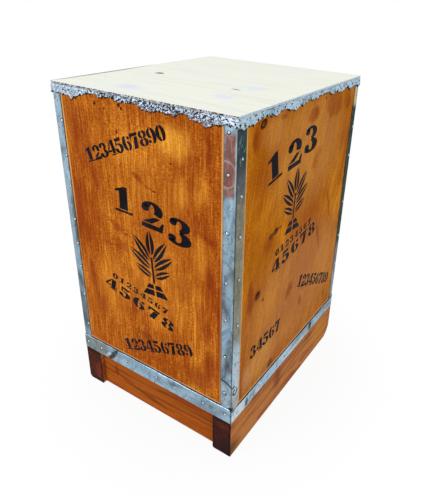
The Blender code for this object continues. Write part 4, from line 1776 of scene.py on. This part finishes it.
class Numerals:
    """Slab numerals for stencils, each a few closed outlines in a box 0.7 wide and 1 high."""

    width = 0.70
    ball_steps = 12
    bowl_steps = 14
    inner_bowl = 1.08
    hairline = 0.105

    @staticmethod
    def bar(left: float, low: float, right: float, high: float) -> Polygon:
        """An upright rectangle."""
        return [(left, low), (right, low), (right, high), (left, high)]

    def ball(self, x: float, y: float, radius: float) -> Polygon:
        """A round end of a stroke."""
        angles = [step * math.tau / self.ball_steps for step in range(self.ball_steps)]
        return [(x + radius * math.cos(angle), y + radius * math.sin(angle)) for angle in angles]

    def crescent(self, centre: Point2, radii: Point2, thick: float, start: float, end: float) -> Polygon:
        """Part of a bowl, thick at its sides and thin at its top and bottom.

        Args:
            centre: Centre of the bowl.
            radii: Outer radii.
            thick: Thickness at the side.
            start: First angle in degrees.
            end: Last angle in degrees.

        Returns:
            The outline.
        """
        steps = self.bowl_steps
        angles = [math.radians(start + (end - start) * step / steps) for step in range(steps + 1)]
        inner = (radii[0] - self.inner_bowl * thick, radii[1] - self.hairline)
        return [
            (centre[0] + x * math.cos(angle), centre[1] + y * math.sin(angle))
            for (x, y), arc in ((radii, angles), (inner, angles[::-1])) for angle in arc
        ]

    def six(self) -> list[Polygon]:
        """Outlines of a six.

        Returns:
            The outlines.
        """
        return [
            self.crescent((0.36, 0.50), (0.35, 0.50), 0.26, 98, 262),
            self.crescent((0.38, 0.31), (0.32, 0.31), 0.21, -84, 88),
            self.ball(0.57, 0.80, 0.11),
        ]

    def outlines(self, digit: str) -> list[Polygon]:
        """Outlines of one numeral.

        Args:
            digit: The numeral.

        Returns:
            The outlines.
        """
        bar, ball, crescent = self.bar, self.ball, self.crescent
        shapes = {
            "0": lambda: [crescent((0.35, 0.5), (0.35, 0.5), 0.25, -82, 82),
                          crescent((0.35, 0.5), (0.35, 0.5), 0.25, 98, 262)],
            "1": lambda: [[(0.20, 0.12), (0.51, 0.12), (0.51, 1.0), (0.38, 1.0), (0.05, 0.84), (0.05, 0.76),
                           (0.20, 0.80)], bar(0.02, 0.0, 0.68, 0.09)],
            "2": lambda: [crescent((0.34, 0.70), (0.33, 0.30), 0.24, -38, 160), ball(0.14, 0.72, 0.12),
                          [(0.42, 0.47), (0.60, 0.47), (0.34, 0.21), (0.04, 0.21)],
                          [(0.03, 0.0), (0.66, 0.0), (0.70, 0.34), (0.64, 0.34), (0.56, 0.17), (0.03, 0.17)]],
            "3": lambda: [crescent((0.30, 0.745), (0.32, 0.255), 0.22, -82, 148), ball(0.13, 0.80, 0.11),
                          crescent((0.30, 0.27), (0.38, 0.27), 0.26, -148, 82), ball(0.12, 0.23, 0.12)],
            "4": lambda: [bar(0.36, 0.12, 0.62, 1.0), bar(0.26, 0.0, 0.72, 0.08), bar(0.65, 0.24, 0.74, 0.36),
                          [(0.33, 1.0), (0.33, 0.80), (0.13, 0.36), (0.33, 0.36), (0.33, 0.24), (0.0, 0.24),
                           (0.0, 0.34)]],
            "5": lambda: [[(0.10, 1.0), (0.63, 1.0), (0.57, 0.79), (0.10, 0.79)], bar(0.10, 0.54, 0.20, 0.75),
                          crescent((0.32, 0.33), (0.37, 0.33), 0.26, -148, 112), ball(0.13, 0.24, 0.12)],
            "6": self.six,
            "7": lambda: [[(0.03, 1.0), (0.70, 1.0), (0.70, 0.92), (0.63, 0.80), (0.16, 0.80), (0.11, 0.64),
                           (0.03, 0.64)], [(0.36, 0.76), (0.63, 0.76), (0.46, 0.0), (0.15, 0.0)]],
            "8": lambda: [crescent((0.35, y), (x, z), thick, turn - 80, turn + 80)
                          for y, x, z, thick in ((0.75, 0.31, 0.25, 0.20), (0.26, 0.35, 0.26, 0.23))
                          for turn in (0, 180)],
            "9": lambda: [[(self.width - x, 1.0 - y) for x, y in shape] for shape in self.six()],
        }
        return shapes[digit]()

    def row(self, text: str, gap: float) -> list[Polygon]:
        """A row of numerals, in a box of unit width and height about the centre.

        Args:
            text: The numerals.
            gap: Space between two of them, as a share of their height.

        Returns:
            The outlines.
        """
        pitch = self.width + gap
        run = pitch * len(text) - gap
        return [
            [((x + index * pitch) / run - 0.5, y - 0.5) for x, y in shape]
            for index, digit in enumerate(text) for shape in self.outlines(digit)
        ]


@dataclass(frozen=True)
class Sprig:
    """A sprig of leaves over a plinth of bars, in a box of unit width and height about the centre."""

    top_leaf: tuple[Point2, Point2, float] = ((0.0, 0.14), (0.0, 0.50), 0.075)
    side_leaves: tuple[tuple[Point2, Point2, float], ...] = (
        ((0.04, 0.06), (0.36, 0.38), 0.058), ((0.04, -0.06), (0.46, 0.17), 0.052),
        ((0.04, -0.19), (0.38, -0.06), 0.042),
    )
    stem: tuple[Point2, Point2] = ((-0.022, 0.11), (0.022, -0.30))
    plinth: tuple[tuple[float, ...], ...] = ((-0.32, -0.39, 0.13, 0.19), (-0.41, -0.50, 0.20, 0.28))
    vein: Point2 = (0.012, 0.014)
    steps: int = 12
    taper: Point2 = (0.85, 0.9)
    slit: float = 0.02

    def leaf(self, base: Point2, tip: Point2, width: float) -> list[Polygon]:
        """Two halves of a leaf with a bare vein between them.

        Args:
            base: Where the leaf starts.
            tip: Its tip.
            width: Half of its width.

        Returns:
            The outlines.
        """
        start, run = Vector(base), Vector(tip) - Vector(base)
        across = Vector((-run.y, run.x)).normalized()
        steps = [step / self.steps for step in range(self.steps + 1)]
        low, high = self.taper
        swell = [self.vein[1] + width * math.sin(math.pi * step**low) ** high for step in steps[1:-1]]
        halves = []
        for sign in (1.0, -1.0):
            inner = [start + run * step + across * sign * self.vein[0] for step in steps]
            outer = [start + run * step + across * sign * out for step, out in zip(steps[1:-1], swell)]
            halves.append([tuple(point) for point in (*inner, *reversed(outer))])
        return halves

    def outlines(self) -> list[Polygon]:
        """Outlines of the leaves, the stem and the plinth.

        Returns:
            The outlines.
        """
        shapes = self.leaf(*self.top_leaf)
        for sign in (-1.0, 1.0):
            for base, tip, width in self.side_leaves:
                shapes += self.leaf((sign * base[0], base[1]), (sign * tip[0], tip[1]), width)
        (left, high), (right, low) = self.stem
        shapes.append([(left, high), (right, high), (right, low), (left, low)])
        for top, bottom, upper, lower in self.plinth:
            for sign in (-1.0, 1.0):
                near, far = (sorted((sign * self.slit, sign * out)) for out in (upper, lower))
                shapes.append([(near[0], top), (near[1], top), (far[1], bottom), (far[0], bottom)])
        return shapes


@dataclass
class Stencils:
    """Stencilled numerals and a leaf sprig on one side, as thin plates of ink."""

    side: Side
    marks: tuple[Mark, ...]
    material: bpy.types.Material
    wall_face: float = 0.0018

    def matrix(self, mark: Mark) -> Matrix:
        """From a mark's own box to its place on the side.

        Args:
            mark: The mark.

        Returns:
            The matrix.
        """
        out = self.wall_face - INK_FILM.thickness / 2 - self.side.reach
        return (
            Matrix.Rotation(self.side.turn, 4, "Z")
            @ Matrix.Translation((mark.along * MM, out, mark.height * MM))
            @ Matrix.Rotation(math.radians(90.0), 4, "X")
            @ Matrix.Rotation(math.radians(mark.tilt), 4, "Z")
            @ Matrix.Diagonal((mark.width * MM, mark.tall * MM, 1.0, 1.0))
        )

    def build(self) -> None:
        """Make all the marks of the side."""
        bm = bmesh.new()
        for mark in self.marks:
            shapes = Numerals().row(mark.numerals, mark.gap) if mark.numerals else Sprig().outlines()
            matrix = self.matrix(mark)
            for shape in shapes:
                bm.faces.new([bm.verts.new(matrix @ Vector((x, y, 0.0))) for x, y in shape])
        bm.normal_update()
        outward = self.side.outward
        bmesh.ops.reverse_faces(bm, faces=[face for face in bm.faces if face.normal.dot(outward) < 0.0])
        INK_FILM.piece(f"stencils_{self.side.label}", bm, outward, self.material)


FRONT_MARKS = (
    Mark(-34, 608, 208, 27, 22.2, "1234567890", 0.0),
    Mark(-44, 502, 46, 52, -1, "1"),
    Mark(25, 489, 54, 54, -3, "2"),
    Mark(88, 474, 54, 53, -5, "3"),
    Mark(18, 387, 112, 138, 4),
    Mark(-20, 309, 146, 13, -13.6, "01234567", 0.25),
    Mark(-24, 283, 184, 25, -14.3, "45678", 0.16),
    Mark(18, 193, 194, 28, 20.2, "123456789"),
)

RIGHT_MARKS = (
    Mark(-121, 586, 50, 52, 10, "1"),
    Mark(-48, 592, 56, 54, 4, "2"),
    Mark(18, 604, 56, 52, 0, "3"),
    Mark(-33, 495, 112, 130, -3),
    Mark(-23, 412, 152, 15, 4.2, "01234567", 0.25),
    Mark(-16, 386, 187, 28, 6, "45678", 0.16),
    Mark(106, 244, 194, 29, -25, "123456789"),
    Mark(-116, 218, 118, 29, 0, "34567"),
)


def dress(node: str, material: bpy.types.Material) -> None:
    """Give one node of the model, whose shape stays as it is, its finish.

    Args:
        node: The node.
        material: Finish.
    """
    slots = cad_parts[node].data.materials
    slots.clear()
    slots.append(material)
    log.info("dressed %s", node)


@dataclass
class Woodwork:
    """New finishes for the wooden pieces of the model."""

    walls: dict[Side, StainedPly]

    def base(self) -> None:
        """Finish the runners and rails."""
        for hand, end, early, late, pith_x, pith_z, seed in (
            ("left", (0.085, 0.018, 0.010), (0.34, 0.125, 0.035), (0.22, 0.06, 0.014), -0.21, 0.03, 3.0),
            ("right", (0.048, 0.012, 0.010), (0.43, 0.165, 0.042), (0.23, 0.06, 0.014), 0.15, 0.02, 9.0),
        ):
            name = f"runner_{hand}"
            low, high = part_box(name)
            dress(name, SawnTimber(
                name, "Y", (pith_x, 0.0, pith_z), early, late, end, centre=tuple((low + high) / 2),
                half=tuple((high - low) / 2), seed=seed, stains=RUNNER_STAINS, contrast=0.70, ring=0.011,
            ).material())
        for name, seed in (("base_rail_front", 5.0), ("base_rail_back", 15.0)):
            dress(name, SawnTimber(
                name, "X", (0.0, -0.26, 0.10), (0.36, 0.088, 0.007), (0.15, 0.028, 0.004), seed=seed,
                stains=RAIL_STAINS, contrast=0.52, ring=0.0130, swing=0.060,
            ).material())

    def inside(self) -> None:
        """Finish the battens, cleats, floor and lid."""
        early, late = (0.60, 0.42, 0.24), (0.44, 0.27, 0.13)
        pine = {
            axis: SawnTimber(f"raw_pine_{axis}", axis, (0.9, 0.7, 0.4), early, late, roughness=0.7, ring=0.0035)
            .material()
            for axis in "XYZ"
        }
        for corner in Corner:
            dress(f"post_{corner.label}", pine["Z"])
        for side in Side:
            for kind in ("floor", "rim"):
                dress(f"{kind}_batten_{side.label}", pine["X" if side.frontal else "Y"])
        for name in ("front", "back"):
            dress(f"lid_cleat_{name}", pine["X"])
        dress("lid_panel", PalePly("pale_ply", stains=LID_STAINS_AND_SHADE).material())
        floor = StainedPly("floor_ply", 0.0, 31.0, (0.30, 0.17, 0.08), (0.44, 0.28, 0.14), (0.56, 0.38, 0.21))
        dress("floor_panel", floor.material())

    def build(self) -> None:
        """Finish every wooden node."""
        for side, finish in self.walls.items():
            dress(f"wall_{side.label}", finish.material())
        self.base()
        self.inside()


@dataclass
class Studio:
    """Plain floor, soft light and the camera of the photograph."""

    camera_at: Point3 = (0.57326, -0.80992, 0.86239)
    right: Point3 = (0.84794, 0.52869, 0.03860)
    up: Point3 = (-0.25783, 0.34772, 0.90145)
    back: Point3 = (0.46316, -0.77433, 0.43116)
    lens: float = 35.067
    shift: Point2 = (-0.0705, -0.0638)
    sensor: float = 36.0
    clip: float = 0.01
    ambient: float = 0.55
    floor_radius: float = 14.0
    floor_sides: int = 96
    floor_tone: float = 0.86
    shadow: Point2 = (0.24, 0.50)
    shadow_light: float = 0.91
    aim: Point3 = (0.0, 0.0, 0.35)
    lamps: tuple[tuple[str, Point3, float, float], ...] = (
        ("key", (-2.4, -4.4, 1.6), 2.6, 118.0), ("fill", (4.4, -2.0, 1.5), 2.6, 84.0),
        ("top", (0.2, -0.2, 4.0), 3.0, 46.0),
    )

    def camera(self) -> None:
        """Camera at the photograph's place and angle."""
        data = bpy.data.cameras.new("camera")
        data.lens = self.lens
        data.sensor_width = self.sensor
        data.shift_x, data.shift_y = self.shift
        data.clip_start = self.clip
        made = add_object("camera", data)
        turn = Matrix((self.right, self.up, self.back)).transposed().to_4x4()
        made.matrix_world = Matrix.Translation(self.camera_at) @ turn
        bpy.context.scene.camera = made

    def light(self) -> None:
        """Soft square lamps aimed at the chest."""
        for name, place, size, power in self.lamps:
            data = bpy.data.lights.new(name, "AREA")
            data.size = size
            data.energy = power
            made = add_object(name, data)
            made.location = place
            made.rotation_euler = (Vector(place) - Vector(self.aim)).to_track_quat("Z", "Y").to_euler()

    def seen(self, graph: Graph) -> Socket:
        """1 for rays that show the background, in the camera or in metal and glass.

        Args:
            graph: Where the nodes go.

        Returns:
            The share.
        """
        path = graph.add("ShaderNodeLightPath").outputs
        seen = graph.math("MAXIMUM", path["Is Camera Ray"], path["Is Glossy Ray"])
        return graph.math("MAXIMUM", seen, path["Is Transmission Ray"])

    def world(self) -> None:
        """White surroundings."""
        world = bpy.data.worlds.new("studio")
        bpy.context.scene.world = world
        graph = Graph.fresh(world)
        strength = graph.fade(self.seen(graph), 0.0, 1.0, self.ambient, 1.0)
        sky = graph.add("ShaderNodeBackground", {"Color": (1.0, 1.0, 1.0), "Strength": strength})
        graph.add("ShaderNodeOutputWorld", {"Surface": sky.outputs[0]})

    def floor(self) -> None:
        """A pale floor that keeps the object's shadow and runs out into white."""
        bm = bmesh.new()
        bmesh.ops.create_circle(bm, cap_ends=True, segments=self.floor_sides, radius=self.floor_radius)
        material = bpy.data.materials.new("floor")
        graph = Graph.fresh(material)
        matt = graph.add("ShaderNodeBsdfDiffuse", {"Color": (self.floor_tone,) * 3})
        glow = graph.add("ShaderNodeEmission", {"Color": (1.0, 1.0, 1.0), "Strength": 1.0})
        share = graph.fade(graph.length(graph.object_place()), *self.shadow, self.shadow_light, 1.0)
        share = graph.math("MULTIPLY", share, self.seen(graph))
        mixed = graph.add("ShaderNodeMixShader", {0: share, 1: matt.outputs[0], 2: glow.outputs[0]})
        graph.add("ShaderNodeOutputMaterial", {"Surface": mixed.outputs[0]})
        add_object("floor", mesh_from("floor", bm, material))

    def build(self) -> None:
        """Make the studio."""
        self.camera()
        self.world()
        self.floor()
        self.light()
        bpy.context.scene.view_settings.view_transform = "Standard"


def main() -> None:
    """Build the studio and every piece in order."""
    logging.basicConfig(level=logging.INFO, format="%(name)s: %(message)s")
    Studio().build()
    dark, middle, light = (0.25, 0.047, 0.004), (0.410, 0.120, 0.010), (0.60, 0.225, 0.020)
    walls = {
        Side.FRONT: StainedPly(
            "wall_front", Side.FRONT.turn, 1.0, dark, middle, light, FRONT_STAINS, (0.1826, 0.1771), 0.127,
            edge_from=0.44, clouds=1.15, lines=0.85,
        ),
        Side.RIGHT: StainedPly(
            "wall_right", Side.RIGHT.turn, 2.0, (0.28, 0.067, 0.002), (0.400, 0.127, 0.003),
            (0.54, 0.212, 0.012), RIGHT_STAINS_AND_SHADE, (0.2146, 0.2201), 0.1203, 13.0, 0.80, edge_highlight=(0.68, 0.0),
            clouds=1.45, lines=0.70, grain=0.6,
        ),
    }
    for side, seed, rims, rim_height in (
        (Side.BACK, 5.0, (0.1716, 0.1771), 0.127), (Side.LEFT, 8.0, (0.2146, 0.2091), 0.1203),
    ):
        walls[side] = StainedPly(
            f"wall_{side.label}", side.turn, seed, dark, middle, light, OTHER_STAINS, rims, rim_height
        )
    Woodwork(walls).build()
    # The tin tables hold real marks and also partly painted reflections.
    tin = Tin("tin", stains=TIN_STAINS_AND_REFLECTIONS, fixed=TIN_MARKS_AND_REFLECTIONS).material()
    foot_tin = Tin("foot_tin", seam=0.0013, along_z=False, stains=FOOT_STAINS_AND_REFLECTIONS, fixed=FOOT_SPOTS).material()
    lines = TackLines()
    for corner in Corner:
        CornerStrip(corner, lines, tin).build()
    for side in Side:
        LowerStrip(side, lines, foot_tin).build()
    # The dark sheet under the foil's edge is a painted shadow line.
    RimFoil(CrumpledFoil("torn_foil").material(), ShadowSheet("edge_shadow_sheet").material()).build()
    head = Steel("tack_steel", (0.40, 0.48, 0.54), (0.16, 0.19, 0.22)).material()
    # The dark disc under each tack head is painted shadow.
    shadow_disc = Steel("tack_shadow_disc", (0.045, 0.055, 0.070), (0.025, 0.03, 0.04)).material()
    Tacks(lines, head, shadow_disc).build()
    lining = CrumpledFoil("lining_foil", speckled=False).material()
    steel = Steel("screw_steel", (0.62, 0.52, 0.28), (0.30, 0.24, 0.14)).material()
    for start, material in (("lining_", lining), ("base_screw_", steel)):
        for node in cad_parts:
            if node.startswith(start):
                dress(node, material)
    for side, marks in ((Side.FRONT, FRONT_MARKS), (Side.RIGHT, RIGHT_MARKS)):
        Stencils(side, marks, Ink(f"ink_{side.label}", walls[side]).material()).build()


if __name__ == "__main__":
    main()
